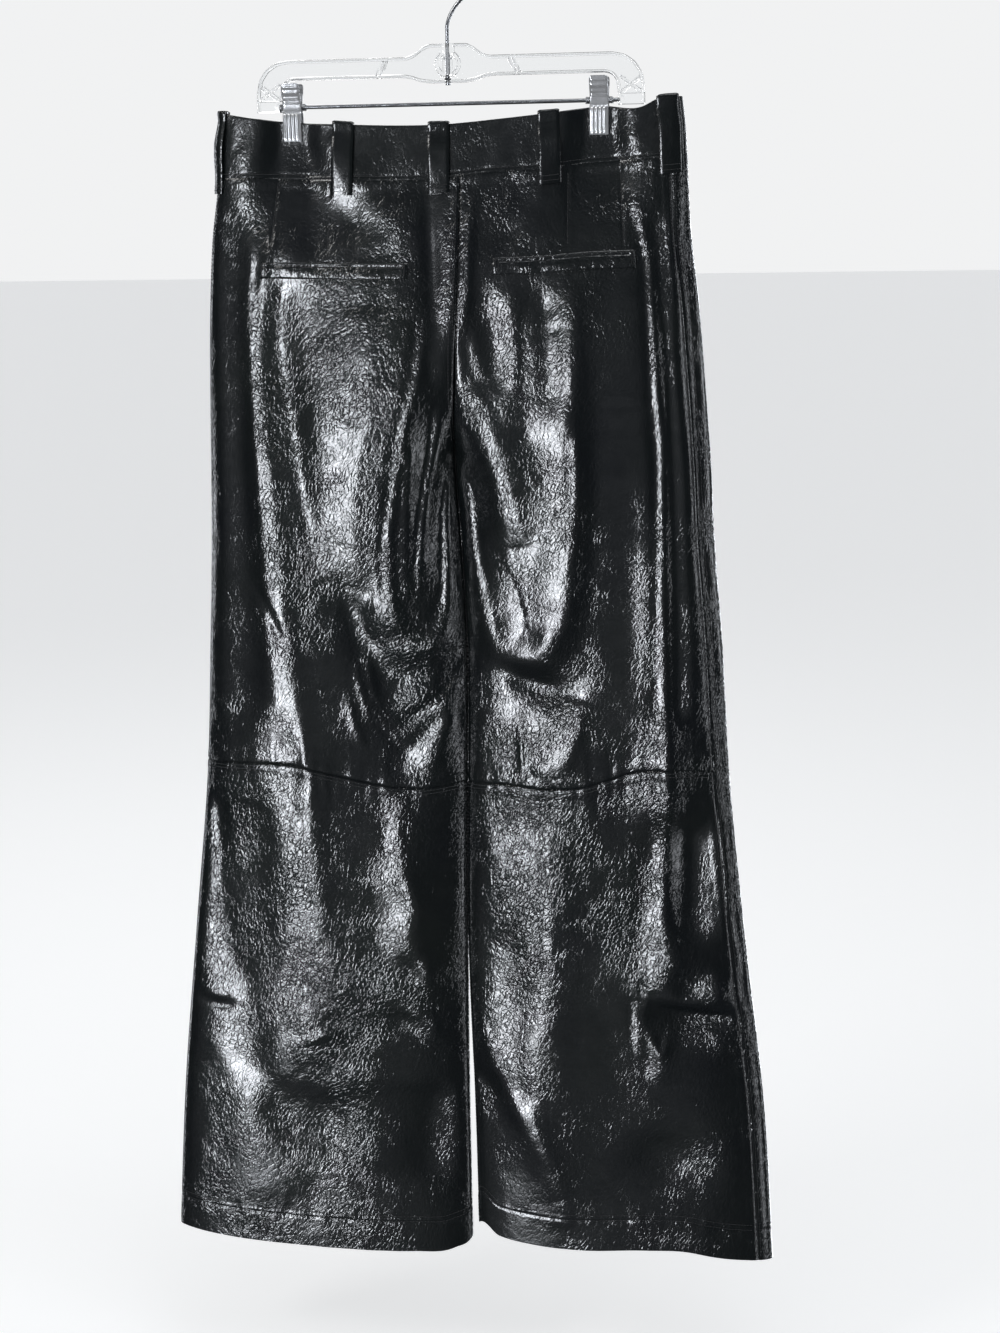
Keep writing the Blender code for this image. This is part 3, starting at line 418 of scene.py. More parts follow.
def crumple(side, across, drop):
    seed = 20 if side == "back" else 60
    a = across + 15 * softNoise(across, drop, 75, seed)
    d = drop + 18 * softNoise(across, drop, 85, seed + 1)
    tall = softNoise(a, d * 0.42, 21, seed + 2)
    slanted = 1 - 2 * np.abs(softNoise(a + 0.55 * d, d * 0.8 - 0.45 * a, 16, seed + 3))
    crossed = 1 - 2 * np.abs(softNoise(a * 0.9 - 0.5 * d, d * 0.8 + 0.5 * a, 13, seed + 4))
    fine = softNoise(a, d * 0.8, 6.5, seed + 5)
    wide = softNoise(across, drop * 0.5, 62, seed + 6)
    rise = 0.9 * wide + 0.2 * tall + 0.1 * slanted + 0.08 * crossed + 0.03 * fine
    return rise * liveliness(side, across, drop)


def pucker(side, across, drop):
    # small gathers that run off the seams
    seed = 90 if side == "back" else 95
    ripple = softNoise(across, drop * 0.12, 6.5, seed) + 0.6 * softNoise(across, drop * 0.2, 11, seed + 1)
    offWaist = np.exp(-np.clip(drop - seamDrop("waist", across), 0, None) / 16)
    offHem = bell(drop - seamDrop("hem", across) + sewing["hemRows"][0], 9)
    rise = 0.45 * offWaist + 0.32 * offHem
    if side == "back":
        rise = rise + 0.75 * np.exp(-np.abs(drop - seamDrop("knee", across)) / 17)
    return rise * ripple


def pinch(across, drop):
    held = np.zeros(np.shape(across))
    below = np.clip((drop - cloth["pinchTop"]) / cloth["pinchDrop"], 0, 1)
    for middle in cloth["clips"]:
        off = np.maximum(np.abs(across - middle) - cloth["pinchHalf"], 0)
        spread = cloth["pinchFade"] + cloth["pinchSpread"] * below
        held = np.maximum(held, bell(off, spread) * (1 - below) ** 1.5)
    return held


def parted(row):
    return soft((row - cloth["crotchStart"]) / (cloth["crotchEnd"] - cloth["crotchStart"]))


def turnedUnder(row, share):
    start, end = cloth["crotchStart"], cloth["crotch"]
    joined = 1 - np.maximum((row - start) / (end - start), 0) ** 2.4
    sharp = 1 - np.clip(0.5 * (joined + np.sqrt(joined**2 + 0.004)), 0, 1)
    return sharp + (parted(row) - sharp) * soft(share / cloth["crotchReach"])


def seamShift(across, row, back):
    atWaist = np.clip((cloth["waistFade"] - row) / (cloth["waistFade"] - cloth["waist"]), 0, 1)
    atKnee = np.clip(1 - np.abs(row - cloth["knee"]) / cloth["kneeFade"], 0, 1) * back
    atHem = np.clip((row - cloth["hemFade"]) / (cloth["hem"] - cloth["hemFade"]), 0, 1)
    shift = atWaist * (seamDrop("waist", across) - cloth["waist"])
    shift += atKnee * (seamDrop("knee", across) - cloth["knee"])
    return shift + atHem * (seamDrop("hem", across) - cloth["hem"])


def placeAt(half, share, row, back):
    side = "rightSide" if half == right else "leftSide"
    start = level("inner", row) + half * level("legGap", row) / 2
    across = start + (half * level(side, row) - start) * share
    drop = row + seamShift(across, row, back)
    return start + (half * level(side, drop) - start) * share, drop


def clothPlace(half, turn, row):
    back = turn <= 1
    out = np.where(back, turn, 2 - turn)
    legs = parted(row)
    share = (1 - legs) * np.sin(out * math.pi / 2) + legs * (1 - np.cos(math.pi * out)) / 2
    across, drop = placeAt(half, share, row, back)
    return across, drop, share


def roundDepth(share, row, drop, back):
    # the cloth's depth without its folds, and how much of a fold's height is left near the edges
    legs = turnedUnder(row, share)
    depth = np.where(back, level("backDepth", drop), level("frontDepth", drop))
    roundness = 2 * cloth["halfWidth"] * (cloth["edgeRadius"] + cloth["edgeShare"] * depth) / depth**2
    full = np.sqrt(np.clip(1 - share**roundness, 0, 1))
    leg = np.sqrt(np.clip(1 - np.abs(2 * share - 1) ** cloth["legRoundness"], 0, 1))
    bulge = (1 - legs) * full + legs * leg
    return depth * bulge, np.sqrt(bulge)


# How the flat places are worked in, on a grid of rows and of shares from seam to seam
flatting = {
    "rows": np.arange(130.0, 1300.0, 3.0),
    "shares": np.linspace(0, 1, 261),
    # how far the cloth that faces the window is turned: degrees in the middle, and more for each mm across
    "lit": {"back": (6.75, 0.015), "front": (-9.0, 0.0)},
    "reach": 1.6,  # how many of its widths a flat place reaches
    "sideways": 110.0,  # how much farther its rise is taken back to the left and right
    "level": 2.0,  # under so many degrees it counts as lit, and is 1 mm wider to each side
    "blunt": 2.6,
    "endShare": 0.2,  # how strong it still is at its ends, how many widths it takes to get to
    "endFade": 1.7,  # its full strength, and the least width that is counted for this
    "endLeast": 9.0,
    "steep": 4.0,  # over so many degrees its rise is taken back over a wide strip,
    "steepBack": 45.0,  # and otherwise over a narrow one and a share of its own width
    "levelBack": (14.0, 1.2),
    "smoothings": 9,
}


def flatGrid(half, side):
    # how far the flat places lift or lower the cloth, summed up across it from seam to seam
    rows, lit = flatting["rows"], flatting["lit"][side]
    row, share = np.meshgrid(rows, flatting["shares"], indexing="ij")
    across, drop = placeAt(half, share, row, side == "back")
    depth, kept = roundDepth(share, row, drop, side == "back")
    depth = depth + kept * foldRise(bigRuns, side, across, drop)
    step = np.diff(across, axis=1)
    x, z = ((grid[:, 1:] + grid[:, :-1]) / 2 for grid in (across, drop))
    slope = np.diff(depth, axis=1) / step
    wanted, taken, placed = slope.copy(), np.zeros(slope.shape), []
    for degrees, points in flats[side]:
        line = smoothLine(points)
        reach = flatting["reach"] * line[:, 2].max()
        low, high = line.min(axis=0) - reach, line.max(axis=0) + reach
        near = (x > low[0] - flatting["sideways"]) & (x < high[0] + flatting["sideways"])
        near &= (z > low[1]) & (z < high[1])
        if not near.any():
            continue
        away, _, nearest, part, run, total = fromLine(line, x[near], z[near])
        width = line[nearest, 2] + (line[nearest + 1, 2] - line[nearest, 2]) * part
        width = width + (abs(degrees) < flatting["level"])
        toEnd = np.minimum(run, total - run)
        fade = flatting["endShare"] + toEnd / (flatting["endFade"] * np.maximum(width, flatting["endLeast"]))
        weight = bell(away, width, flatting["blunt"]) * soft(fade)
        placed.append((degrees, near, away, width, weight))
        taken[near] = np.maximum(taken[near], weight)
    for degrees, near, away, width, weight in placed:
        turn = lit[0] + lit[1] * x[near] + degrees
        change, spare = np.zeros(slope.shape), np.zeros(slope.shape)
        change[near] = weight * (np.tan(np.radians(turn)) - wanted[near])
        # what it rises by is taken back close beside it
        least, more = flatting["levelBack"]
        wide = flatting["steepBack"] if abs(degrees) > flatting["steep"] else least + more * width
        spare[near] = (1.003 - taken[near]) * np.exp(-away / wide) * np.abs(step[near])
        owed = (change * step).sum(axis=1, keepdims=True) / np.maximum(spare.sum(axis=1, keepdims=True), 1e-6)
        wanted += change - owed * spare / step
    change = (wanted - slope) * step
    change = np.hstack([np.zeros((len(rows), 1)), np.cumsum(change, axis=1)])
    for _ in range(flatting["smoothings"]):
        change[1:-1] = (change[:-2] + 2 * change[1:-1] + change[2:]) / 4
    return change


flatGrids = {(half, side): flatGrid(half, side) for half in (left, right) for side in ("back", "front")}
print("flats worked out, from", round(min(grid.min() for grid in flatGrids.values()), 1), "to",
      round(max(grid.max() for grid in flatGrids.values()), 1), "mm")


def flatRise(half, side, share, row):
    grid, rows, lastShare = flatGrids[half, side], flatting["rows"], len(flatting["shares"]) - 1
    u = np.clip(share, 0, 1) * lastShare
    v = np.clip((row - rows[0]) / (rows[1] - rows[0]), 0, len(rows) - 1.001)
    i, j = v.astype(int), np.minimum(u.astype(int), lastShare - 1)
    s, t = v - i, u - j
    top = grid[i, j] * (1 - t) + grid[i, j + 1] * t
    return top * (1 - s) + (grid[i + 1, j] * (1 - t) + grid[i + 1, j + 1] * t) * s


def clothPoint(half, turn, row, plain=False):
    turn, row = np.broadcast_arrays(np.asarray(turn, float), np.asarray(row, float))
    back = turn <= 1
    across, drop, share = clothPlace(half, turn, row)
    depth, kept = roundDepth(share, row, drop, back)
    held = pinch(across, drop)
    rise = np.zeros(across.shape)
    for side, there in (("back", back), ("front", ~back)):
        if there.any():
            a, d = across[there], drop[there]
            folds = foldRise(bigRuns, side, a, d) + foldRise(smallRuns, side, a, d)
            if not plain:
                folds += crumple(side, a, d) + pucker(side, a, d)
            rise[there] = folds * kept[there] + flatRise(half, side, share[there], row[there])
    depth = (depth + rise) * (1 - held) + cloth["pinched"] * held * kept
    return np.stack([across, np.where(back, -depth, depth), -drop], -1)


def turnAt(half, across, row, back=True):
    turns = np.linspace(0 if back else 2, 1, 481)
    reached, _, _ = clothPlace(half, turns, np.full(turns.shape, float(row)))
    return float(np.interp(across * half, reached * half, turns))


def sideSeamTurn(half, row):
    if not cloth["seamSetback"][half]:
        return 1.0
    edge, _, _ = clothPlace(half, np.array(1.0), np.array(float(row)))
    return turnAt(half, float(edge) - half * cloth["seamSetback"][half], row)


print("cloth worked out,", len(bigRuns) + len(smallRuns), "folds")


def outwardOf(half, turn, row):
    turn, row = np.broadcast_arrays(np.asarray(turn, float), np.asarray(row, float))
    step = 0.004
    before, after = np.maximum(turn - step, 0), np.minimum(turn + step, 2)
    around = clothPoint(half, after, row, plain=True) - clothPoint(half, before, row, plain=True)
    down = clothPoint(half, turn, row + 1.0, plain=True) - clothPoint(half, turn, row - 1.0, plain=True)
    return unit(np.cross(down, around) * half)


def turnedOut(points, faces):
    fans = np.array([(face[0], b, c) for face in faces for b, c in zip(face[1:], face[2:])])
    return faces if np.linalg.det(points[fans]).sum() > 0 else [face[::-1] for face in faces]


def addMesh(name, points, faces, sharp=None):
    # points in millimetres: x, y and height above the hook's rest
    mesh = bpy.data.meshes.new(name)
    mesh.from_pydata((np.asarray(points, float) * mm).tolist(), [], faces)
    mesh.shade_smooth()
    if sharp is not None:
        mesh.set_sharp_from_angle(angle=math.radians(sharp))
    made = bpy.data.objects.new(name, mesh)
    bpy.context.scene.collection.objects.link(made)
    return made


def vertexGrids(rows, columns):
    # the numbers of a fine outer grid's points, and of an inner one's with every second point
    fine = np.arange(rows * columns).reshape(rows, columns)
    size = (rows + 1) // 2, (columns + 1) // 2
    return fine, fine.size + np.arange(size[0] * size[1]).reshape(size)


def wallFaces(fine, coarse):
    # both grids, and the rim between them
    quads = [np.stack([fine[:-1, :-1], fine[:-1, 1:], fine[1:, 1:], fine[1:, :-1]], -1),
             np.stack([coarse[1:, :-1], coarse[1:, 1:], coarse[:-1, 1:], coarse[:-1, :-1]], -1)]
    faces = np.vstack([quad.reshape(-1, 4) for quad in quads]).tolist()
    edges = ((fine[0], coarse[0]), (fine[:, -1], coarse[:, -1]),
             (fine[-1, ::-1], coarse[-1, ::-1]), (fine[::-1, 0], coarse[::-1, 0]))
    for outerEdge, innerEdge in edges:
        for i in range(len(innerEdge) - 1):
            a, b, c = (int(outerEdge[2 * i + k]) for k in range(3))
            faces.append([c, b, a, int(innerEdge[i]), int(innerEdge[i + 1])])
    return faces


def addCloth(name, outer, inner, live):
    # a closed sheet between an outer grid and an inner one, both with an odd number of rows and columns
    rows, columns = outer.shape[:2]
    grids = vertexGrids(rows, columns)
    points = np.vstack([outer.reshape(-1, 3), inner[::2, ::2].reshape(-1, 3)])
    faces = wallFaces(*grids)
    corners = points[np.array(faces[: (rows - 1) * (columns - 1)])[:, :3]]
    normals = np.cross(corners[:, 1] - corners[:, 0], corners[:, 2] - corners[:, 0])
    if (normals * (outer - inner)[:-1, :-1].reshape(-1, 3)).sum() < 0:
        faces = [face[::-1] for face in faces]
    made = addMesh(name, points, faces)
    mesh = made.data
    ends = np.zeros(len(mesh.edges) * 2, np.int64)
    mesh.edges.foreach_get("vertices", ends)
    rim = np.zeros(len(mesh.edges), bool)  # the sheet's own edges are sharp
    for grid in grids:
        atRim = np.zeros(len(points), bool)
        atRim[np.concatenate([grid[0], grid[-1], grid[:, 0], grid[:, -1]])] = True
        rim |= atRim[ends.reshape(-1, 2)].all(axis=1)
    sharp = mesh.attributes.get("sharp_edge") or mesh.attributes.new("sharp_edge", "BOOLEAN", "EDGE")
    sharp.data.foreach_set("value", rim)
    amount = np.full(len(points), 0.7, np.float32)
    amount[: rows * columns] = np.broadcast_to(live, (rows, columns)).reshape(-1)
    mesh.attributes.new("crinkle", "FLOAT", "POINT").data.foreach_set("value", amount)
    return made


def oddSpread(low, high, step, dense=(), fine=1.0, reach=6.0):
    # places from low to high, closer together near the dense ones, and an odd number of them
    at = [low]
    span = abs(high - low)
    sign = 1 if high > low else -1
    while abs(at[-1] - low) < span:
        here = at[-1]
        nearest = min([abs(here - d) for d in dense], default=1e9)
        at.append(here + sign * (fine + (step - fine) * float(soft(nearest / reach))))
    places = np.array(at)
    places = low + (places - low) * span / abs(places[-1] - low)
    if len(places) % 2 == 0:
        places = np.sort(np.append(places, (places[len(places) // 2] + places[len(places) // 2 - 1]) / 2))
        places = places if sign > 0 else places[::-1]
    return places


# Where the panels' fine grids are closest together, and how the sewn edges lie
panels = {
    "backStep": 2.15,
    "frontStep": 3.6,
    "rowStretch": 1.06,
    "seamStep": 0.9,
    "seamReach": 7.0,
    "seamDip": 0.9,
    "seamDipReach": 1.2,
    "allowance": 0.4,
    "allowanceWide": 7.5,
    "allowanceFade": 2.2,
    "hemRise": 0.35,
    "hemGroove": 0.55,
    "hemBulge": 0.5,
    "threadDip": 0.22,
    "threadDipReach": 0.8,
}


def measuredColumns(half, back, rows, step):
    # turns that lie evenly across the middle row, and closer together at both seams
    middle = float(rows[len(rows) // 2])
    sideTurn = sideSeamTurn(half, middle)
    turns = np.linspace(0, sideTurn, 2401) if back else 2 - np.linspace(0, 2 - sideTurn, 2401)
    run = runAlong(clothPoint(half, turns, middle, plain=True))
    places = oddSpread(0, run[-1], step, (0, run[-1]), panels["seamStep"], panels["seamReach"])
    shares = np.interp(places, run, np.abs(turns - turns[0]))
    return shares / shares[-1]


def makePanel(name, half, back, low, high, dense):
    step = panels["backStep"] if back else panels["frontStep"]
    rows = oddSpread(low, high, step * panels["rowStretch"], dense, panels["seamStep"], panels["seamReach"])
    sideTurns = np.ones(len(rows))
    if cloth["seamSetback"][half]:
        sideTurns = np.interp(rows, rows[::12], [sideSeamTurn(half, row) for row in rows[::12]])
    shares = measuredColumns(half, back, rows, step)[None]
    turns = sideTurns[:, None] * shares if back else 2 - (2 - sideTurns[:, None]) * shares
    down = np.repeat(rows[:, None], turns.shape[1], 1)
    points = clothPoint(half, turns, down)
    normals = outwardOf(half, turns, down)
    across, drop, _ = clothPlace(half, turns, down)
    fromTop, fromCentre = (np.cumsum(np.insert(np.linalg.norm(np.diff(points, axis=k), axis=-1), 0, 0, k), k)
                           for k in (0, 1))
    toHem, toSide = fromTop[-1:] - fromTop, fromCentre[:, -1:] - fromCentre
    hemmed = high > cloth["hem"] - 1
    sewnEnd = np.full(turns.shape, 1e3) if hemmed else toHem
    lift = np.zeros(turns.shape)
    for away in (fromCentre, toSide, fromTop, sewnEnd):
        lift -= panels["seamDip"] * bell(away, panels["seamDipReach"])
        lift += panels["allowance"] * (1 - soft((away - panels["allowanceWide"]) / panels["allowanceFade"]))
    if hemmed:
        stitched = sewing["hemRows"][0]
        folded = 1 - soft((toHem - stitched - 1) / 2.5)
        lift += panels["hemRise"] * folded - panels["hemGroove"] * bell(toHem - stitched, 1.4)
        lift += panels["hemBulge"] * softNoise(across, drop * 0.05, 24, 7) * folded
    # the thread pulls the double rows down a little
    double = [(toSide, "sideRows"), (fromTop, "crossRows")]
    double = [(fromCentre, "sideRows"), *double, (sewnEnd, "crossRows")] if back else double
    for away, sewn in double:
        for stitched in sewing[sewn]:
            lift -= panels["threadDip"] * bell(away - stitched, panels["threadDipReach"])
    lift -= dartDip(across, drop) if back else 0
    outer = points + normals * lift[..., None]
    inner = points + normals * (np.minimum(lift, 0) - cloth["wall"])[..., None]
    outer, inner = (keptApart(drawnIn(drawnIn(grid), (1, 0, 2)), half, rows, 1 - 2 * back)
                    for grid in (outer, inner))
    made = addCloth(name, outer, inner, liveliness("back" if back else "front", across, drop))
    return {"object": made, "rows": rows, "outer": outer, "normals": normals, "fromTop": fromTop,
            "fromCentre": fromCentre, "toHem": toHem, "toSide": toSide}


# Darts: top and point, each a stitched line that sinks into the cloth
darts = (
    ((-160, 208), (-168, 279)), ((-110, 210), (-114, 282)),
    ((110, 204), (110, 273)), ((157, 198), (161, 275)),
)


def dartDip(across, drop):
    dip = np.zeros(np.shape(across))
    for top, point in darts:
        down = np.clip((drop - top[1]) / (point[1] - top[1]), 0, 1)
        off = across - (top[0] + (point[0] - top[0]) * down)
        inside = (drop > top[1] - 3) & (drop < point[1] + 6)
        fade = 1 - soft((drop - point[1] + 12) / 18)
        dip += inside * fade * (0.42 * bell(off, 1.0) - 0.05 * bell(off - 3.6, 2.6))
    return dip


def drawnIn(points, turned=(0, 1, 2)):
    # the first and last row, or column, give way by half the gap of a seam
    points = points.copy()
    rows = points.transpose(turned)
    for edge, nextOne in ((0, 1), (-1, -2)):
        rows[edge] += unit(rows[nextOne] - rows[edge]) * (cloth["gap"] / 2)
    return points


def keptApart(points, half, rows, side):
    # the back stays behind the middle plane, the front before it, and the halves clear of each other
    clear = cloth["gap"] / 2
    near = points[:, : points.shape[1] // 2] if cloth["seamSetback"][half] else points
    near[..., 1] = np.where(near[..., 1] * side < clear, side * clear, near[..., 1])
    centre = level("inner", rows)[:, None]
    crossed = (near[..., 0] - centre) * half < clear
    above = rows[:, None] < cloth["crotch"] - 4
    near[..., 0] = np.where(above & crossed, centre + half * clear, near[..., 0])
    return points


legs = {}
for half, word in ((left, "Left"), (right, "Right")):
    legs["backUpper" + word] = makePanel(f"back{word}Upper", half, True, 206, 772, (206, 287, 462, 772))
    legs["backLower" + word] = makePanel(f"back{word}Lower", half, True, 772, 1272, (772, 1239, 1272))
    legs["front" + word] = makePanel(f"front{word}", half, False, 206, 1272, (206, 462, 1239, 1272))
    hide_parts(f"back_{word.lower()}_upper")
    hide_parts(f"back_{word.lower()}_lower")
    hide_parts(f"front_{word.lower()}")
print("leg panels cut,", sum(len(leg["object"].data.polygons) for leg in legs.values()), "faces")


def bandPoint(half, turns, rise):
    # a place on the cloth's line at a share of the band's height, and the level way out from it
    turns, rise = np.broadcast_arrays(np.asarray(turns, float), np.asarray(rise, float))
    back = turns <= 1
    across, _, _ = clothPlace(half, turns, np.full(turns.shape, cloth["bandMiddle"]))
    low = seamDrop("waist", across)
    lower = np.where(back, 0, cloth["frontTopDrop"] * (1 - (across / cloth["halfTop"]) ** 2))
    drop = low + (seamDrop("top", across) + lower - low) * rise
    row = drop
    for _ in range(4):
        row = drop - seamShift(across, row, back)
    point = clothPoint(half, turns, row, plain=True)
    out = outwardOf(half, turns, np.full(turns.shape, cloth["bandMiddle"])) * (1, 1, 0)
    return point, unit(out), across, drop


# The waistband: a strip folded double over its own top edge
band = {
    "step": 1.7,
    "high": 52.0,
    "roll": 1.2,
    "ripple": 0.5,
    "gather": 0.14,
    "stitchRise": 0.075,
    "stitchDip": 0.3,
    "tab": 27.0,
    "tabRamp": (-13.0, -3.0),
}
up = np.array([0.0, 0.0, 1.0])


def bandPiece(name, node, *runs):
    # each run: half, turns, and how far each turn lies off the cloth's line
    halves = np.concatenate([np.full(len(own), half) for half, own, _ in runs])
    turns = np.concatenate([own for _, own, _ in runs])
    lifts = np.concatenate([np.broadcast_to(lift, own.shape) for _, own, lift in runs])
    if len(turns) % 2 == 0:  # one more column makes their number odd
        k = len(turns) // 3
        halves = np.insert(halves, k, halves[k])
        turns, lifts = (np.insert(values, k, (values[k] + values[k - 1]) / 2) for values in (turns, lifts))
    rises = oddSpread(0, 1, 0.045, (0, band["stitchRise"], 1), 0.02, 0.12)
    rolls = np.linspace(0, math.radians(86), 5)[1:]
    rises = rises[:-1] if (len(rises) + len(rolls)) % 2 == 0 else rises
    allRises = np.concatenate([rises, np.ones(len(rolls))])[:, None]
    angle = np.concatenate([np.zeros(len(rises)), rolls])[:, None, None]
    outer = np.zeros((len(allRises), len(turns), 3))
    inner = np.zeros_like(outer)
    roll = band["roll"]
    for half in (left, right):
        chosen = halves == half
        if not chosen.any():
            continue
        point, out, across, drop = bandPoint(half, turns[chosen][None], allRises)
        free = 1 - pinch(across, drop)
        wave = softNoise(across, drop * 0.3, 24, 31)
        wave = (wave + 0.6 * softNoise(across + 0.3 * drop, drop * 0.5, 11, 32)) * band["ripple"] * free
        wave = wave - band["stitchDip"] * bell((allRises - band["stitchRise"]) * band["high"], 1.0)
        gather = softNoise(across, drop * 0.1, 5.5, 33) * bell(allRises * band["high"], 9)
        wave = (wave + band["gather"] * gather * free)[..., None]
        lift, turnedIn = lifts[chosen][None, :, None], roll - roll * np.cos(angle)
        point = point + up * roll * (np.sin(angle) - 1)
        outer[:, chosen] = point + out * (lift + wave - turnedIn)
        inner[:, chosen] = point + out * (lift + np.minimum(wave, 0) - cloth["bandWall"] + turnedIn)
    for grid in (outer, inner):
        grid[: len(rises), :, 2] += cloth["gap"] * (1 - np.arange(len(rises))[:, None] / len(rises))
    outer, inner = (drawnIn(grid, (1, 0, 2)) for grid in (outer, inner))
    made = addCloth(name, outer, inner, 0.55)
    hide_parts(node)
    return {"object": made, "outer": outer, "rises": rises}


def bandTurns(half, low, high):
    # turns spaced evenly along the band
    turns = np.linspace(low, high, 1601)
    run = runAlong(bandPoint(half, turns, 0.5)[0])
    return np.interp(np.linspace(0, run[-1], max(3, int(run[-1] / band["step"]) + 1)), run, turns)


def frontTurn(half, step):
    return turnAt(half, float(level("inner", cloth["bandMiddle"])) + step, cloth["bandMiddle"], back=False)


seamAt = {half: sideSeamTurn(half, cloth["bandMiddle"]) for half in (left, right)}
backLeft, backRight = (bandTurns(half, 0.0, seamAt[half]) for half in (left, right))
ownRight = bandTurns(right, seamAt[right], 2.0)
waistband = {
    "back": bandPiece("waistbandBack", "waistband_back",
                      (left, backLeft[::-1], 0.0), (right, backRight[1:], 0.0)),
    "frontRight": bandPiece("waistbandFrontRight", "waistband_front_right", (right, ownRight, 0.0)),
}
# the left front rises over the right one, which its tab overlaps
lapLift = cloth["bandWall"] + 1.5 * cloth["laidGap"] + 0.1
rampStart, rampEnd = (frontTurn(left, step) for step in band["tabRamp"])
ownLeft = bandTurns(left, seamAt[left], 2.0)
lifted = lapLift * soft((ownLeft - rampStart) / (rampEnd - rampStart))
lapped = bandTurns(right, 2.0, frontTurn(right, band["tab"]))[1:]
waistband["frontLeft"] = bandPiece("waistbandFrontLeft", "waistband_front_left",
                                   (left, ownLeft, lifted), (right, lapped, lapLift))
print("waistband folded over")

# Belt loops, each a strip with its edges turned under, from its foot up over the band's top edge
loops = {
    "width": 19.5,
    "acrossSteps": 15,
    "downSteps": 41,
    "edgeRound": 0.7,
    "wave": 0.12,
    "ridge": 0.08,
    "lean": 0.5,
    # CAD node, half, middle, whether it is at the back, and a seed
    "places": {
        "BackLeft": ("back_left", left, -97.5, True, 41),
        "BackCentre": ("back_centre", left, -8.0, True, 42),
        "BackRight": ("back_right", right, 93.5, True, 43),
        "FrontLeft": ("front_left", left, -104.0, False, 44),
        "FrontRight": ("front_right", right, 104.0, False, 44),
        "SideLeft": ("side_left", left, None, None, 44),
        "SideRight": ("side_right", right, None, None, 44),
    },
    # measured from, then the inner face out and up from there, and the outer face out and up
    "path": (("seam", 1.3, -15.0, 3.1, -15.0), ("seam", 1.3, -9.0, 3.3, -9.0), ("seam", 1.6, 2.0, 3.7, 2.0),
             ("middle", 2.7, 0.0, 4.8, 0.0), ("top", 1.5, -7.0, 3.6, -7.0), ("top", 0.7, 0.7, 2.6, 2.8),
             ("top", -2.6, 0.7, -2.6, 2.8)),
    "at": (0, 0.9, 2.6, 4.4, 6.0, 6.9, 7.35),  # where along the loop each row of the path is
}


def loopTurns(half, middle, back):
    offs = np.linspace(-0.5, 0.5, loops["acrossSteps"]) * loops["width"]
    if middle is not None:
        return np.array([turnAt(half, middle + off, cloth["bandMiddle"], back) for off in offs])
    turns = np.linspace(0.5, 1.5, 2001)
    run = runAlong(clothPoint(half, turns, cloth["bandMiddle"], plain=True))
    return np.interp(np.interp(seamAt[half], turns, run) + offs, run, turns)


def makeLoop(word, node, half, middle, back, seed):
    turns = np.sort(loopTurns(half, middle, back))
    inner, outer = [], []
    for base, innerOut, innerRise, outerOut, outerRise in loops["path"]:
        point, out, _, _ = bandPoint(half, turns, {"seam": 0.0, "middle": 0.5, "top": 1.0}[base])
        if base == "seam" and outerRise < 0:
            point = clothPoint(half, turns, cloth["waist"] - outerRise, plain=True)
            innerRise = outerRise = 0.0
        inner.append(point + out * innerOut + up * innerRise)
        outer.append(point + out * outerOut + up * outerRise)
    bend, end = loops["at"][-3], loops["at"][-1]
    at = np.concatenate([np.linspace(0, bend, loops["downSteps"] - 12), np.linspace(bend, end, 13)[1:]])
    outer, inner = (np.stack([[rounded(at, loops["at"], [row[c][k] for row in grid]) for k in range(3)]
                              for c in range(len(turns))]).transpose(2, 0, 1) for grid in (outer, inner))
    across = np.linspace(-1, 1, len(turns))
    away = unit(outer - inner)
    rise = loops["wave"] * softNoise(outer[..., 0], outer[..., 2] * 0.6, 6.0, seed)
    rise = rise + loops["ridge"] * (bell(np.abs(across) - 0.72, 0.12) - 0.5)
    rise = rise + loops["lean"] * across * (-half if back else 0)
    rise = rise - loops["edgeRound"] * np.abs(across) ** 12
    outer = outer + away * rise[..., None]
    outer[:2] -= away[:2] * 0.25  # the foot is pressed flat
    made = addCloth(f"beltLoop{word}", outer, inner, 0.5)
    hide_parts(f"belt_loop_{node}")
    return {"object": made, "outer": outer, "away": away}


beltLoops = {word: makeLoop(word, *settings) for word, settings in loops["places"].items()}
print("belt loops folded")

# What is laid on the panels: the two pocket welts and the fly's flap
laid = {
    "weltRows": (283.0, 298.0),
    "weltEnds": {left: (-176, -37), right: (42, 171)},
    "weltThick": 1.6,
    "weltStep": 0.75,
    "flyRows": (206.0, 374.0),
    "flyMiddle": 250.0,
    "flyWide": 38.0,
    "flyThick": 1.3,
    "flyStep": 1.3,
}


def laidStrip(name, node, half, rowRange, turnRange, thick, shape, step):
    rows = np.linspace(*rowRange, 2 * int((rowRange[1] - rowRange[0]) / step / 2) + 1)
    span = runAlong(clothPoint(half, np.linspace(*turnRange, 200), rowRange[0], plain=True))[-1]
    turns = np.linspace(*turnRange, 2 * int(span / (step * 1.5) / 2) + 1)
    down, around = np.meshgrid(rows, turns, indexing="ij")
    points = clothPoint(half, around, down)
    normals = outwardOf(half, around, down)
    run = (around - turnRange[0]) / (turnRange[1] - turnRange[0]) * span
    extra = shape(down - rowRange[0], run, np.minimum(run, span - run), points)
    outer = points + normals * (cloth["laidGap"] + thick + extra)[..., None]
    made = addCloth(name, outer, points + normals * cloth["laidGap"], 0.9)
    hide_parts(node)
    return {"object": made, "outer": outer, "normals": normals}


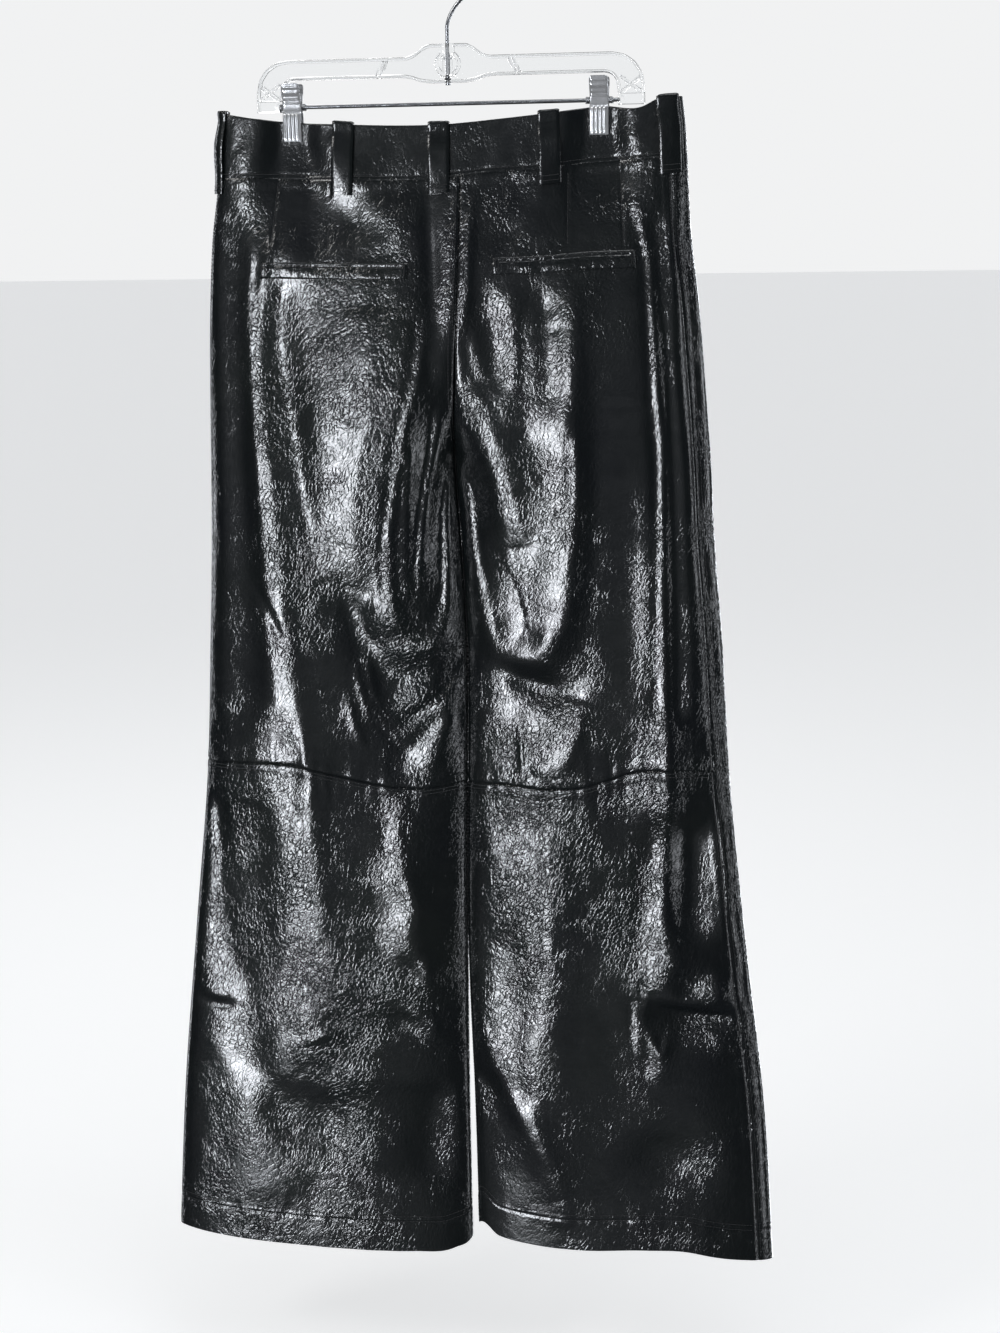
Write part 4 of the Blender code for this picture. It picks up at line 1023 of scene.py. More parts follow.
def weltShape(down, run, edges, points):
    # a groove under its upper fold, sunk edges, and a soft swell below
    rise = 0.13 * softNoise(points[..., 0], points[..., 2], 4.5, 51)
    rise = rise + 0.06 * softNoise(run, down * 2, 2.4, 52)
    rise = rise + 0.6 * softNoise(run, down * 0.5, 12, 54) * soft((down - 3.6) / 3)
    rise = rise - 0.95 * bell(down - 3.4, 0.75) * soft((edges - 3) / 3)
    rise = rise - 0.6 * bell(down, 0.6) - 0.7 * bell(15 - down, 0.8)
    return rise - 0.6 * bell(edges, 0.8) + 0.35 * bell(down - 9, 4)


def flyShape(down, run, edges, points):
    rise = 0.25 * softNoise(points[..., 0], points[..., 2], 8, 53) - 0.6 * bell(edges, 0.8)
    return rise - 0.25 * bell(run - run.max() + 32, 0.9)


welts = {}
for half, word in ((left, "Left"), (right, "Right")):
    ends = sorted(turnAt(half, across, laid["weltRows"][0]) for across in laid["weltEnds"][half])
    welts[word] = laidStrip(f"pocketWelt{word}", f"pocket_welt_{word.lower()}", half, laid["weltRows"], ends,
                            laid["weltThick"], weltShape, laid["weltStep"])
flyStart = float(level("inner", laid["flyMiddle"])) - laid["flyWide"]
flyEnd = turnAt(left, flyStart, laid["flyMiddle"], back=False)
flyFlap = laidStrip("flyFlap", "fly_flap", left, laid["flyRows"], (1.999, flyEnd), laid["flyThick"], flyShape,
                    laid["flyStep"])
print("welts and fly laid on")

# Sewing thread: every stitch is a short arched length of it
thread = {"radius": 0.31, "sides": 5, "pitch": 3.1, "length": 2.3, "bury": 0.16}


def circle(sides):
    return np.linspace(0, 2 * math.pi, sides, endpoint=False)


def ringFaces(count, sides):
    # the faces between rings that follow one another
    faces = []
    for start in range(0, (count - 1) * sides, sides):
        for i in range(sides):
            a, b = start + i, start + (i + 1) % sides
            faces.append([a, b, b + sides, a + sides])
    return faces


def ringEnds(count, sides):
    return [list(range(sides - 1, -1, -1)), [(count - 1) * sides + i for i in range(sides)]]


def stitchRun(points, normals, pitch=thread["pitch"], length=thread["length"], start=0.0, stop=0.0):
    # the rings of each stitch along a line on the cloth
    run = runAlong(points)
    count = int((run[-1] - start - stop) / pitch)
    if count < 1:
        return np.zeros((0, 4, thread["sides"], 3))
    middles = start + pitch * (np.arange(count) + 0.5)
    stations = middles[:, None] + length * np.array([-0.5, -0.3, 0.3, 0.5])
    at = np.stack([np.interp(stations, run, points[:, k]) for k in range(3)], -1)
    out = unit(np.stack([np.interp(middles, run, normals[:, k]) for k in range(3)], -1))[:, None]
    sideways = np.cross(unit(at[:, -1:] - at[:, :1]), out)
    radius = thread["radius"]
    sizes = np.array([0.55, 1.0, 1.0, 0.55])[None, :, None, None] * radius
    heights = np.array([-0.35, 0.55, 0.55, -0.35])[None, :, None] * radius + radius * 0.3 - thread["bury"]
    angles = circle(thread["sides"])[:, None]
    ring = np.cos(angles) * sideways[:, :, None] + np.sin(angles) * out[:, :, None]
    return (at + out * heights)[:, :, None] + ring * sizes


def addThread(name, runs):
    rings = np.concatenate(runs)
    sides = thread["sides"]
    points = rings.reshape(-1, 3)
    starts = (np.arange(len(rings)) * 4 * sides)[:, None, None]
    quads, ends = (np.array(own)[None] + starts for own in (ringFaces(4, sides), ringEnds(4, sides)))
    faces = quads.reshape(-1, 4).tolist() + ends.reshape(-1, sides).tolist()
    return addMesh(name, points, turnedOut(points, faces))


def stitched(piece, field, distance, low=-math.inf, high=math.inf, **spacing):
    # stitches along the line on a panel that keeps a distance from one of its edges
    grids = [piece[key] for key in (field, "outer", "normals")]
    if field in ("fromTop", "toHem"):
        grids = [grid.swapaxes(0, 1) for grid in grids]
    else:
        grids = [grid[(piece["rows"] >= low) & (piece["rows"] <= high)] for grid in grids]
    lines = [], []
    for away, *others in zip(*grids):
        order = np.argsort(away)
        for line, values in zip(lines, others):
            line.append([np.interp(distance, away[order], values[order, k]) for k in range(3)])
    return stitchRun(*(np.array(line) for line in lines), **spacing)


threads = []
for word in ("Left", "Right"):
    upper, lower, front = legs["backUpper" + word], legs["backLower" + word], legs["front" + word]
    seam = sewing["sideRows"][0]
    runs = [stitched(lower, "fromTop", away, start=3, stop=3) for away in sewing["crossRows"]]
    runs += [stitched(lower, "toHem", away, start=3, stop=2) for away in sewing["hemRows"]]
    if word == "Left":
        runs += [stitched(upper, "fromCentre", away, high=452, start=4) for away in sewing["sideRows"]]
    runs += [stitched(upper, "fromCentre", seam, low=470, pitch=3.4),
             stitched(lower, "fromCentre", seam, pitch=3.4, stop=4),
             stitched(upper, "toSide", seam, start=3), stitched(lower, "toSide", seam, stop=4)]
    threads.append(addThread(f"threadBack{word}", runs))
    runs = [stitched(front, "toHem", away, start=3, stop=2) for away in sewing["hemRows"]]
    runs += [stitched(front, "toSide", away, start=3, stop=4) for away in sewing["frontSideRows"]]
    runs.append(stitched(front, "fromCentre", seam, low=470, pitch=3.4, stop=4))
    if word == "Right":
        runs += [stitched(front, "fromCentre", away, low=380, high=452) for away in sewing["sideRows"]]
    threads.append(addThread(f"threadFront{word}", runs))

runs = []
for word, piece in waistband.items():
    outer = piece["outer"]
    normals = unit(np.cross(np.gradient(outer, axis=0), np.gradient(outer, axis=1)))
    if normals[3, outer.shape[1] // 2, 1] * (-1 if word == "back" else 1) < 0:
        normals = -normals
    r = int(np.abs(piece["rises"] - band["stitchRise"]).argmin())
    runs.append(stitchRun(outer[r], normals[r], pitch=2.9, start=2, stop=2))
for piece in beltLoops.values():
    for row in (2, 5):
        runs.append(stitchRun(piece["outer"][row, 1:-1], piece["away"][row, 1:-1], pitch=1.9, length=1.5))
threads.append(addThread("threadWaist", runs))

runs = []
for piece in welts.values():
    grid, normals = piece["outer"], piece["normals"]
    runs.append(stitchRun(grid[2, 1:-1], normals[2, 1:-1], pitch=1.7, length=1.3))
    for c in (2, 4, -5, -3):
        runs.append(stitchRun(grid[2:-2, c], normals[2:-2, c], pitch=1.5, length=1.2))
for top, point in darts:
    half = left if top[0] < 0 else right
    drops = np.linspace(top[1] + 3, point[1] - 1, 40)
    acrossAt = np.linspace(top[0], point[0], 40)
    turns = np.array([turnAt(half, x, z - 1) for x, z in zip(acrossAt, drops)])
    rows = drops
    for _ in range(5):
        rows = drops - seamShift(acrossAt, rows, np.ones(40, bool))
    out = outwardOf(half, turns, rows)
    runs.append(stitchRun(clothPoint(half, turns, rows) - out * 0.2, out, pitch=2.8, length=2.0))
runs.append(stitchRun(flyFlap["outer"][3:-3, 4], flyFlap["normals"][3:-3, 4], pitch=3.0))
threads.append(addThread("threadPockets", runs))
print("stitched,", sum(len(piece.data.polygons) for piece in threads), "faces of thread")


def tube(line, radius, sides):
    # rings round a smooth line; the radius may change along it
    line = np.asarray(line, float)
    radius = np.broadcast_to(np.asarray(radius, float), (len(line),))
    along = unit(np.gradient(line, axis=0))
    side = np.array([0.0, 1.0, 0.0]) if abs(along[0, 1]) < 0.9 else np.array([1.0, 0.0, 0.0])
    angles = circle(sides)[:, None]
    rings = []
    for at, way, r in zip(line, along, radius):
        side = unit(side - way * (side @ way))
        rings.append(at + r * (np.cos(angles) * side + np.sin(angles) * np.cross(way, side)))
    return np.array(rings)


def joinedTubes(name, tubes, sharp=None):
    points, faces, start = [], [], 0
    for rings in tubes:
        count, sides = rings.shape[:2]
        own = rings.reshape(-1, 3)
        for face in turnedOut(own, ringFaces(count, sides) + ringEnds(count, sides)):
            faces.append([i + start for i in face])
        points.append(own)
        start += len(own)
    return addMesh(name, np.vstack(points), faces, sharp)


# The waist button, on the tab of the front band. Its outline is a row of radius and height off the band.
button = {
    "radius": 8.5,
    "across": 12.0,
    "rise": 0.55,
    "outline": ((0.0, 0.1), (2.4, 0.1), (5.0, 0.0), (5.3, 0.5), (6.9, 1.1), (8.1, 1.35), (8.5, 1.8),
                (8.35, 2.4), (7.8, 2.85), (7.0, 3.0), (6.1, 2.75), (5.5, 2.1), (5.0, 1.8), (3.4, 1.75),
                (1.7, 1.72), (0.0, 1.7)),
    "sides": 64,
    "holeOut": 1.9,
    "hole": 0.95,
    "holeDeep": 1.2,
    "thread": 0.24,
}


def makeButton():
    middle = bandPoint(right, np.array([frontTurn(right, button["across"])]), button["rise"])[0][0]
    middle[1] += cloth["bandWall"] + 3 * cloth["laidGap"]
    x, y, z = middle
    outline = np.array(button["outline"])
    at = np.linspace(0, len(outline) - 1, 61)
    radii, outs = (rounded(at, range(len(outline)), outline[:, k]) for k in (0, 1))
    radii = np.clip(radii, 0, button["radius"])
    sides, out = button["sides"], button["holeOut"]
    angles = circle(sides)
    rings = np.stack([x + radii[1:-1, None] * np.cos(angles), y + np.repeat(outs[1:-1, None], sides, 1),
                      z + radii[1:-1, None] * np.sin(angles)], -1)
    # the four holes are pressed into its face
    inFace = (np.arange(len(rings)) > 36)[:, None]
    for holeX, holeZ in ((-out, -out), (-out, out), (out, -out), (out, out)):
        off = np.hypot(rings[..., 0] - x - holeX, rings[..., 2] - z - holeZ)
        rings[..., 1] -= button["holeDeep"] * (1 - soft((off - button["hole"] + 0.35) / 0.5)) * inFace
    points = np.vstack([rings.reshape(-1, 3), [[x, y + outs[0], z]], [[x, y + outs[-1], z]]])
    count = len(rings)
    faces, last = ringFaces(count, sides), (count - 1) * sides
    for i in range(sides):
        j = (i + 1) % sides
        faces += [[j, i, count * sides], [last + i, last + j, count * sides + 1]]
    made = addMesh("waistButton", points, turnedOut(points, faces), sharp=50)
    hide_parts("waist_button")
    lengths = []
    for across in (-out, out):
        for shift in (-0.25, 0.25):
            start = np.array((x + across + shift, y + 1.55, z - out))
            line = np.linspace(start, start + 2 * out * up, 9)
            line[:, 1] += 0.75 * np.sin(np.linspace(0, math.pi, 9)) - 0.3
            lengths.append(tube(line, button["thread"], 8))
    return made, joinedTubes("buttonThread", lengths)


waistButton, buttonThread = makeButton()
print("button sewn on")

# The clip hanger. Each row of its bar is a cut across it: across and drop of the upper
# or outer edge, then of the lower or inner edge. Nuts and ribs stand in the clear web.
hanger = {
    "railDeep": 4.0,
    "web": 1.1,
    "hub": (0.0, 109.0),
    "hubRadius": 11.0,
    "ribDeep": 3.4,
    "halfBar": (
        (0.0, 91.0, 0.0, 125.5), (6.0, 91.0, 6.0, 125.5), (18.0, 91.2, 16.0, 125.5),
        (24.0, 94.2, 26.0, 124.0), (31.0, 99.6, 34.0, 121.2), (38.0, 102.0, 42.0, 120.0),
        (57.0, 102.0, 64.0, 120.0),
        (100.0, 102.0, 100.0, 120.0), (150.0, 102.0, 143.0, 120.0), (161.1, 104.2, 147.2, 120.8),
        (170.5, 110.5, 150.8, 123.2), (176.8, 119.9, 153.2, 126.8), (179.0, 131.0, 154.0, 131.0),
        (179.0, 137.6, 155.0, 137.6), (179.0, 148.0, 155.0, 148.0)),
    "edgeIn": np.array([0, 0.06, 0.25, 0.6, 1.05, 1.5, 1.95, 2.4, 2.75, 2.94, 3.02]),
    "ribs": ((55.7, 102.0, 62.7, 120.0), (59.3, 102.0, 66.3, 120.0),
             (158.0, 137.0, 176.0, 124.0), (158.0, 124.0, 176.0, 137.0)),
    "boss": (157.5, 143.8),
    "cheekTop": 137.8,  # under this drop the arms' ends are as deep as cheeks
    "cheekDeep": 3.3,
}


def bulging(off, deep, power=2):
    # the depth of a round rib: full in its middle, and none beyond its width
    return deep * np.sqrt(np.clip(1 - off**power, 0, 1))


def makeHangerBody():
    rows = np.array(hanger["halfBar"], float)
    run = runAlong((rows[:, :2] + rows[:, 2:]) / 2)
    at = np.concatenate([np.arange(0, run[-1] - 0.4, 0.9), [run[-1] - 0.35, run[-1]]])
    half = np.stack([np.interp(at, run, rows[:, k]) for k in range(4)], -1)
    for _ in range(5):  # the corners of the bar's outline are rounded
        half[1:-1] = (half[:-2] + 2 * half[1:-1] + half[2:]) / 4
    both = np.vstack([half[:0:-1] * [-1, 1, -1, 1], half])
    top, bottom, edgeIn = both[:, :2], both[:, 2:], hanger["edgeIn"]
    length = np.linalg.norm(bottom - top, axis=1)
    shares = np.array([np.concatenate([edgeIn, np.linspace(edgeIn[-1], size - edgeIn[-1], 23)[1:-1],
                                       (size - edgeIn)[::-1]]) / size for size in length])
    flat = top[:, None] + (bottom - top)[:, None] * shares[..., None]
    x, z = flat[..., 0], flat[..., 1]
    fromEdge = np.minimum(shares, 1 - shares) * length[:, None]
    off = np.clip(np.abs(fromEdge - 1.5) / 1.5, 0, 1)
    rail = hanger["railDeep"] * (1 - off**3.2) ** (1 / 2.2) * (fromEdge < 3.001)
    hubX, hubZ = hanger["hub"]
    ring = (np.hypot(x - hubX, z - hubZ) - hanger["hubRadius"] + 1) / 1.3
    sleeve = bulging(x / 4.2, 3.9, 4) * (z < hubZ + 9)
    collar = bulging(x / 6.2, 4.0, 8) * (z < 100)
    deep = np.maximum.reduce([rail, hanger["web"] * (fromEdge > 1.5), bulging(ring, hanger["ribDeep"]),
                              sleeve, collar])
    for x1, z1, x2, z2 in hanger["ribs"]:
        way = np.array([x2 - x1, z2 - z1])
        part = np.clip(((np.abs(x) - x1) * way[0] + (z - z1) * way[1]) / (way @ way), 0, 1)
        away = np.hypot(np.abs(x) - x1 - part * way[0], z - z1 - part * way[1])
        deep = np.maximum(deep, bulging(away / 0.95, 2.8))
    boss = np.hypot(np.abs(x) - hanger["boss"][0], z - hanger["boss"][1])
    deep = np.maximum(deep, bulging(boss / 5.2, 3.6, 6))
    middle = (len(both) - 1) / 2
    ends = np.clip((np.abs(np.arange(len(both)) - middle) - middle + 3) / 3, 0, 1)
    deep = np.where(z > hanger["cheekTop"], np.maximum(deep, hanger["cheekDeep"]), deep)
    deep = np.maximum(deep * (1 - 0.35 * ends[:, None] ** 2), 0.02)
    front, rear = (np.stack([x, side * deep, -z], -1) for side in (-1, 1))
    loop = np.concatenate([front, rear[:, ::-1]], axis=1)
    count, sides = loop.shape[:2]
    points = loop.reshape(-1, 3)
    faces = ringFaces(count, sides)
    for r in (0, count - 1):
        for i in range(sides // 2 - 1):
            quad = [r * sides + i, r * sides + i + 1, r * sides + sides - 2 - i, r * sides + sides - 1 - i]
            faces.append(quad if r == 0 else quad[::-1])
    made = addMesh("hangerBody", points, turnedOut(points, faces), sharp=48)
    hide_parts("hanger_body")
    return made


hangerBody = makeHangerBody()

hook = {
    "wire": 1.7, "radius": 29.0, "start": -58.0, "sweep": 205.0, "neck": 77.0, "curve": 12.0, "foot": 127.0,
    # each nut's height, radius, length and sides
    "nuts": ((-104.0, 3.1, 2.2, 6), (-122.5, 3.3, 2.6, 6), (-126.8, 2.5, 1.2, 24)),
}


def makeHook():
    centre = hook["wire"] - hook["radius"]
    angles = np.radians(hook["start"] + np.linspace(0, hook["sweep"], 97))
    ring = np.stack([hook["radius"] * np.cos(angles), centre + hook["radius"] * np.sin(angles)], 1)
    neck = np.array((0.0, -hook["neck"]))
    joining = np.array((-math.sin(angles[0]), math.cos(angles[0])))
    bend = []
    for t in np.linspace(0, 1, 31)[1:-1]:
        rising = neck + np.array((0, hook["curve"])) * t
        turning = ring[0] - joining * hook["curve"] * (1 - t)
        bend.append(rising + (turning - rising) * soft(t))
    stem = [(0.0, z) for z in np.linspace(-hook["foot"], -hook["neck"] - 1, 26)]
    line = np.insert(np.array([*stem, neck, *bend, *ring]), 1, 0, axis=1)
    # its end is rounded off
    way = unit(line[-1] - line[-2])
    tip = np.linspace(0.1, 1, 8)
    line = np.vstack([line, line[-1] + way * tip[:, None] * hook["wire"]])
    radius = np.full(len(line), hook["wire"])
    radius[-8:] = hook["wire"] * np.sqrt(np.clip(1 - tip**2, 0.002, 1))
    made = joinedTubes("hookWire", [tube(line, radius, 28)], sharp=60)
    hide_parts("hook")
    nuts = []
    for z, r, high, sides in hook["nuts"]:
        line = np.outer(z + np.array([-1, -0.8, 0.8, 1]) * high / 2, up)
        nuts.append(tube(line, np.array([0.82, 1, 1, 0.82]) * r, sides))
    return made, joinedTubes("hookNuts", nuts, sharp=25)


hookWire, hookNuts = makeHook()

rod = {"radius": 1.75, "drop": 143.8, "half": 156.4}


def makeRod():
    ends = np.array([0, 0.25, 0.8, 2.0])
    x = np.concatenate([-rod["half"] + ends, np.linspace(-150, 150, 61), rod["half"] - ends[::-1]])
    line = np.stack([x, np.zeros(len(x)), np.full(len(x), -rod["drop"])], 1)
    radius = np.full(len(x), rod["radius"])
    radius[[0, -1]] *= 0.8
    radius[[1, -2]] *= 0.96
    made = joinedTubes("rodBar", [tube(line, radius, 32)], sharp=50)
    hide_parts("rod")
    return made


rodBar = makeRod()

# The clips' jaws: pressed strip, ribbed where one's thumb goes and fluted below, and their springs' coils
jaws = {
    "wide": 17.0,
    "wall": 1.3,
    "middles": dict(zip(("left", "right"), cloth["clips"])),
    "path": ((8.6, 122.5), (6.2, 131.0), (2.5, 138.8), (2.3, 147.2), (4.3, 151.5), (4.0, 168.0),
             (3.4, 174.5)),
    "ribs": (126.0, 130.6, 135.2, 139.6),
    "ribHigh": 0.55,
    "flutes": (-5.4, -1.8, 1.8, 5.4),
    "fluteHigh": 0.7,
    "lipHigh": {"left": 0.25, "right": 0.55},
    "teeth": {"left": 0.9, "right": 0.0},
    "coil": 2.75,
    "coilWire": 0.45,
    "coilTurns": 3.5,
    "coilOut": (8.9, 3.4),
}


def makeJaw(word, side):
    path = smoothLine(jaws["path"], 12)[:-1]
    run = runAlong(path)
    at = np.linspace(0, run[-1], 133)
    path = np.stack([np.interp(at, run, path[:, k]) for k in range(2)], 1)
    tangents = unit(np.gradient(path, axis=0))
    down, flat = np.meshgrid(path[:, 1], np.linspace(-1, 1, 53) * jaws["wide"] / 2, indexing="ij")
    high = np.zeros(down.shape)
    edge = jaws["wide"] / 2 - np.abs(flat)
    for rib in jaws["ribs"]:
        high += jaws["ribHigh"] * bell(down - rib, 1.15) * soft((edge - 0.6) / 1.6)
    lower = soft((down - 148) / 4) * (1 - soft((down - 170) / 3))
    for flute in jaws["flutes"]:
        high += jaws["fluteHigh"] * lower * bell(flat - flute, 1.05)
    high -= 0.5 * bell(edge, 0.5) + 0.35 * bell(down - 122.5, 0.7)
    high += jaws["lipHigh"][word] * bell(down - 172.6, 1.2)
    lip = 1 - np.clip((176 - down) / 3.4, 0, 1)
    teeth = jaws["teeth"][word] * (0.5 + 0.5 * np.cos(flat / jaws["wide"] * 2 * math.pi * 7))
    # the thumb end's corners are cut round
    corner = np.clip((126.0 - down) / 3.6, 0, 1)
    foot = np.clip((down - 172.0) / 3.0, 0, 1)
    narrow = 1 - 0.28 * (1 - np.sqrt(1 - corner**2)) - 0.06 * foot**2
    x, y = jaws["middles"][word] + flat * narrow, np.broadcast_to(side * path[:, :1], flat.shape)
    inner = np.stack([x, y, -down - teeth * lip**2], -1)
    outer = inner.copy()
    outer[..., 1] += side * tangents[:, 1:] * (jaws["wall"] + high)
    outer[..., 2] += tangents[:, :1] * (jaws["wall"] + high)
    points = np.vstack([outer.reshape(-1, 3), inner[::2, ::2].reshape(-1, 3)])
    faces = turnedOut(points, wallFaces(*vertexGrids(*outer.shape[:2])))
    face = "back" if side < 0 else "front"
    made = addMesh(f"clipJaw{word.capitalize()}{face.capitalize()}", points, faces, sharp=40)
    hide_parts(f"clip_jaw_{word}_{face}")
    return made


def makeSprings():
    coils = []
    for middle in jaws["middles"].values():
        for sign in (-1, 1):
            t = np.linspace(0, 1, 120)
            angle = t * jaws["coilTurns"] * 2 * math.pi
            x = middle + sign * (jaws["coilOut"][0] + t * jaws["coilOut"][1])
            line = np.stack([x, jaws["coil"] * np.sin(angle), -rod["drop"] + jaws["coil"] * np.cos(angle)], 1)
            coils.append(tube(line, jaws["coilWire"], 8))
    return joinedTubes("clipSprings", coils)


clipJaws = [makeJaw(word, side) for word in ("left", "right") for side in (-1, 1)]
clipSprings = makeSprings()
print("hanger, hook, rod and clips made")


def node(tree, kind, inputs=None, **settings):
    # each input takes another node's output or a fixed value
    made = tree.nodes.new("ShaderNode" + kind)
    for key, value in settings.items():
        setattr(made, key, value)
    for key, value in (inputs or {}).items():
        feed(tree, made.inputs[key], value)
    return made


def feed(tree, socket, value):
    if isinstance(value, bpy.types.NodeSocket):
        tree.links.new(value, socket)
    else:
        socket.default_value = value


def newMaterial(name, colour, roughness, metallic=0.0):
    made = bpy.data.materials.new(name)
    made.use_nodes = True
    tree = made.node_tree
    shader = tree.nodes["Principled BSDF"]
    shader.inputs["Base Color"].default_value = (*colour, 1)
    shader.inputs["Roughness"].default_value = roughness
    shader.inputs["Metallic"].default_value = metallic
    return made, tree, shader, node(tree, "TexCoord").outputs["Object"]


def noiseAt(tree, place, scale, detail=3.0, roughness=0.55, distortion=0.0):
    return node(tree, "TexNoise", {"Vector": place, "Scale": scale, "Detail": detail, "Roughness": roughness,
                                   "Distortion": distortion}).outputs[0]


def mathNode(tree, operation, *values):
    return node(tree, "Math", dict(enumerate(values)), operation=operation).outputs[0]


def mapRange(tree, value, low, high, toLow, toHigh, **settings):
    return node(tree, "MapRange", {0: value, 1: low, 2: high, 3: toLow, 4: toHigh}, **settings).outputs[0]


def mixed(tree, factor, first, second, kind="RGBA"):
    return node(tree, "Mix", {"Factor": factor, "A": first, "B": second}, data_type=kind).outputs["Result"]


def bumped(tree, shader, height, strength, distance):
    bump = node(tree, "Bump", {"Height": height, "Strength": strength, "Distance": distance})
    feed(tree, shader.inputs["Normal"], bump.outputs["Normal"])
    return bump.outputs["Normal"]


# Crinkled faux leather: lengths in metres. How lively the cloth is comes from its attribute.
leather = {
    "colour": (0.0026, 0.0034, 0.0060),
    "greyer": (0.0078, 0.0104, 0.0094),
    "roughLow": 0.13,
    "roughHigh": 0.27,
    "coat": 0.55,
    "coatRough": 0.055,
    "refraction": 1.48,
    "bend": 0.014,
    "creaseCell": 250.0,
    "creaseDepth": 0.00021,
    "hairScale": 330.0,
    "hairDepth": 0.0006,
    "wrinkleScale": 120.0,
    "wrinkleDepth": 0.00062,
    "grainScale": 2600.0,
    "grain": 0.000008,
}


def makeLeather(name, strength=1.0):
    made, tree, shader, place = newMaterial(name, leather["colour"], 0.3)
    live = node(tree, "Attribute", attribute_name="crinkle").outputs["Fac"]
    # the place is bent a little, so that the creases wander
    bend = node(tree, "TexNoise", {"Vector": place, "Scale": 62.0, "Detail": 3.0}).outputs["Color"]
    bent = node(tree, "VectorMath", {0: bend, 1: [leather["bend"]] * 3, 2: place},
                operation="MULTIPLY_ADD").outputs["Vector"]
    patchy = mapRange(tree, noiseAt(tree, place, 26.0, 3.0, 0.6), 0.38, 0.64, 0.35, 1.15)
    side = mapRange(tree, noiseAt(tree, place, 17.0, 1.0), 0.44, 0.56, 0.0, 1.0)

    def turned(angle, squeeze):
        return node(tree, "Mapping", {"Scale": (1.0, 1.0, 1 / squeeze), "Rotation": (0.0, angle, 0.0),
                                      "Vector": bent}, vector_type="TEXTURE").outputs["Vector"]

    def ridged(angle, squeeze, scale, detail, roughness):
        value = noiseAt(tree, turned(angle, squeeze), scale, detail, roughness)
        return mathNode(tree, "ABSOLUTE", mathNode(tree, "SUBTRACT", value, 0.5))

    cells = node(tree, "TexVoronoi", {"Vector": turned(0.42, 0.5), "Scale": leather["creaseCell"],
                                      "Randomness": 1.0}, feature="DISTANCE_TO_EDGE").outputs["Distance"]
    hair = mixed(tree, side, ridged(-0.85, 0.22, leather["hairScale"], 2.0, 0.6),
                 ridged(0.75, 0.22, leather["hairScale"], 2.0, 0.6), "FLOAT")
    wrinkle = ridged(0.2, 0.7, leather["wrinkleScale"], 3.0, 0.62)
    crease = mapRange(tree, cells, 0.0, 0.2, 0.0, 1.0)
    height = mathNode(tree, "MULTIPLY", crease, leather["creaseDepth"] * strength)
    height = mathNode(tree, "MULTIPLY_ADD", hair, -leather["hairDepth"] * strength, height)
    height = mathNode(tree, "MULTIPLY_ADD", wrinkle, -leather["wrinkleDepth"] * strength, height)
    height = mathNode(tree, "MULTIPLY", height, mathNode(tree, "MULTIPLY", live, patchy))
    grain = noiseAt(tree, place, leather["grainScale"], 2.0)
    height = mathNode(tree, "MULTIPLY_ADD", grain, leather["grain"], height)
    feed(tree, shader.inputs["Coat Normal"], bumped(tree, shader, height, 1.0, 1.0))
    patches = noiseAt(tree, place, 70.0, 4.0, 0.6)
    rough = mapRange(tree, patches, 0.3, 0.7, leather["roughLow"], leather["roughHigh"])
    feed(tree, shader.inputs["Roughness"], rough)
    colour = mixed(tree, noiseAt(tree, place, 9.0, 2.0), (*leather["colour"], 1), (*leather["greyer"], 1))
    feed(tree, shader.inputs["Base Color"], colour)
    shader.inputs["Coat Weight"].default_value = leather["coat"]
    shader.inputs["Coat Roughness"].default_value = leather["coatRough"]
    shader.inputs["IOR"].default_value = leather["refraction"]
    return made


def makeThreadFinish():
    made, tree, shader, place = newMaterial("threadBlack", (0.035, 0.035, 0.037), 0.36)
    twist = node(tree, "TexWave", {"Vector": place, "Scale": 900.0, "Distortion": 1.5},
                 bands_direction="DIAGONAL")
    bumped(tree, shader, twist.outputs["Fac"], 0.6, 0.0001)
    feed(tree, shader.inputs["Roughness"], mapRange(tree, noiseAt(tree, place, 400.0), 0.3, 0.7, 0.34, 0.55))
    return made


def makeClear():
    made, tree, shader, place = newMaterial("clearPlastic", (0.97, 0.98, 0.985), 0.05)
    shader.inputs["Transmission Weight"].default_value = 1.0
    shader.inputs["IOR"].default_value = 1.49
    scuffs = noiseAt(tree, place, 900.0, 4.0, 0.7)
    feed(tree, shader.inputs["Roughness"], mapRange(tree, scuffs, 0.45, 0.75, 0.03, 0.16))
    bumped(tree, shader, noiseAt(tree, place, 120.0, 2.0), 0.25, 0.0004)
    return made


def makeMetal(name, colour, low, high, streak, metallic=1.0):
    made, tree, shader, place = newMaterial(name, colour, low, metallic)
    brushed = node(tree, "Mapping", {"Scale": streak, "Vector": place}).outputs["Vector"]
    wear = noiseAt(tree, brushed, 700.0, 4.0, 0.65)
    feed(tree, shader.inputs["Roughness"], mapRange(tree, wear, 0.35, 0.7, low, high))
    shade = mixed(tree, noiseAt(tree, place, 160.0, 3.0), (*colour, 1), (*(c * 0.82 for c in colour), 1))
    feed(tree, shader.inputs["Base Color"], shade)
    bumped(tree, shader, wear, 0.2, 0.0002)
    return made


def makeButtonFinish():
    made, tree, shader, place = newMaterial("buttonHorn", (0.018, 0.017, 0.017), 0.3)
    clouds = noiseAt(tree, place, 210.0, 4.0, 0.6, 1.2)
    shade = mixed(tree, clouds, (0.012, 0.011, 0.011, 1), (0.04, 0.036, 0.033, 1))
    feed(tree, shader.inputs["Base Color"], shade)
    feed(tree, shader.inputs["Roughness"], mapRange(tree, noiseAt(tree, place, 800.0), 0.3, 0.7, 0.2, 0.4))
    return made


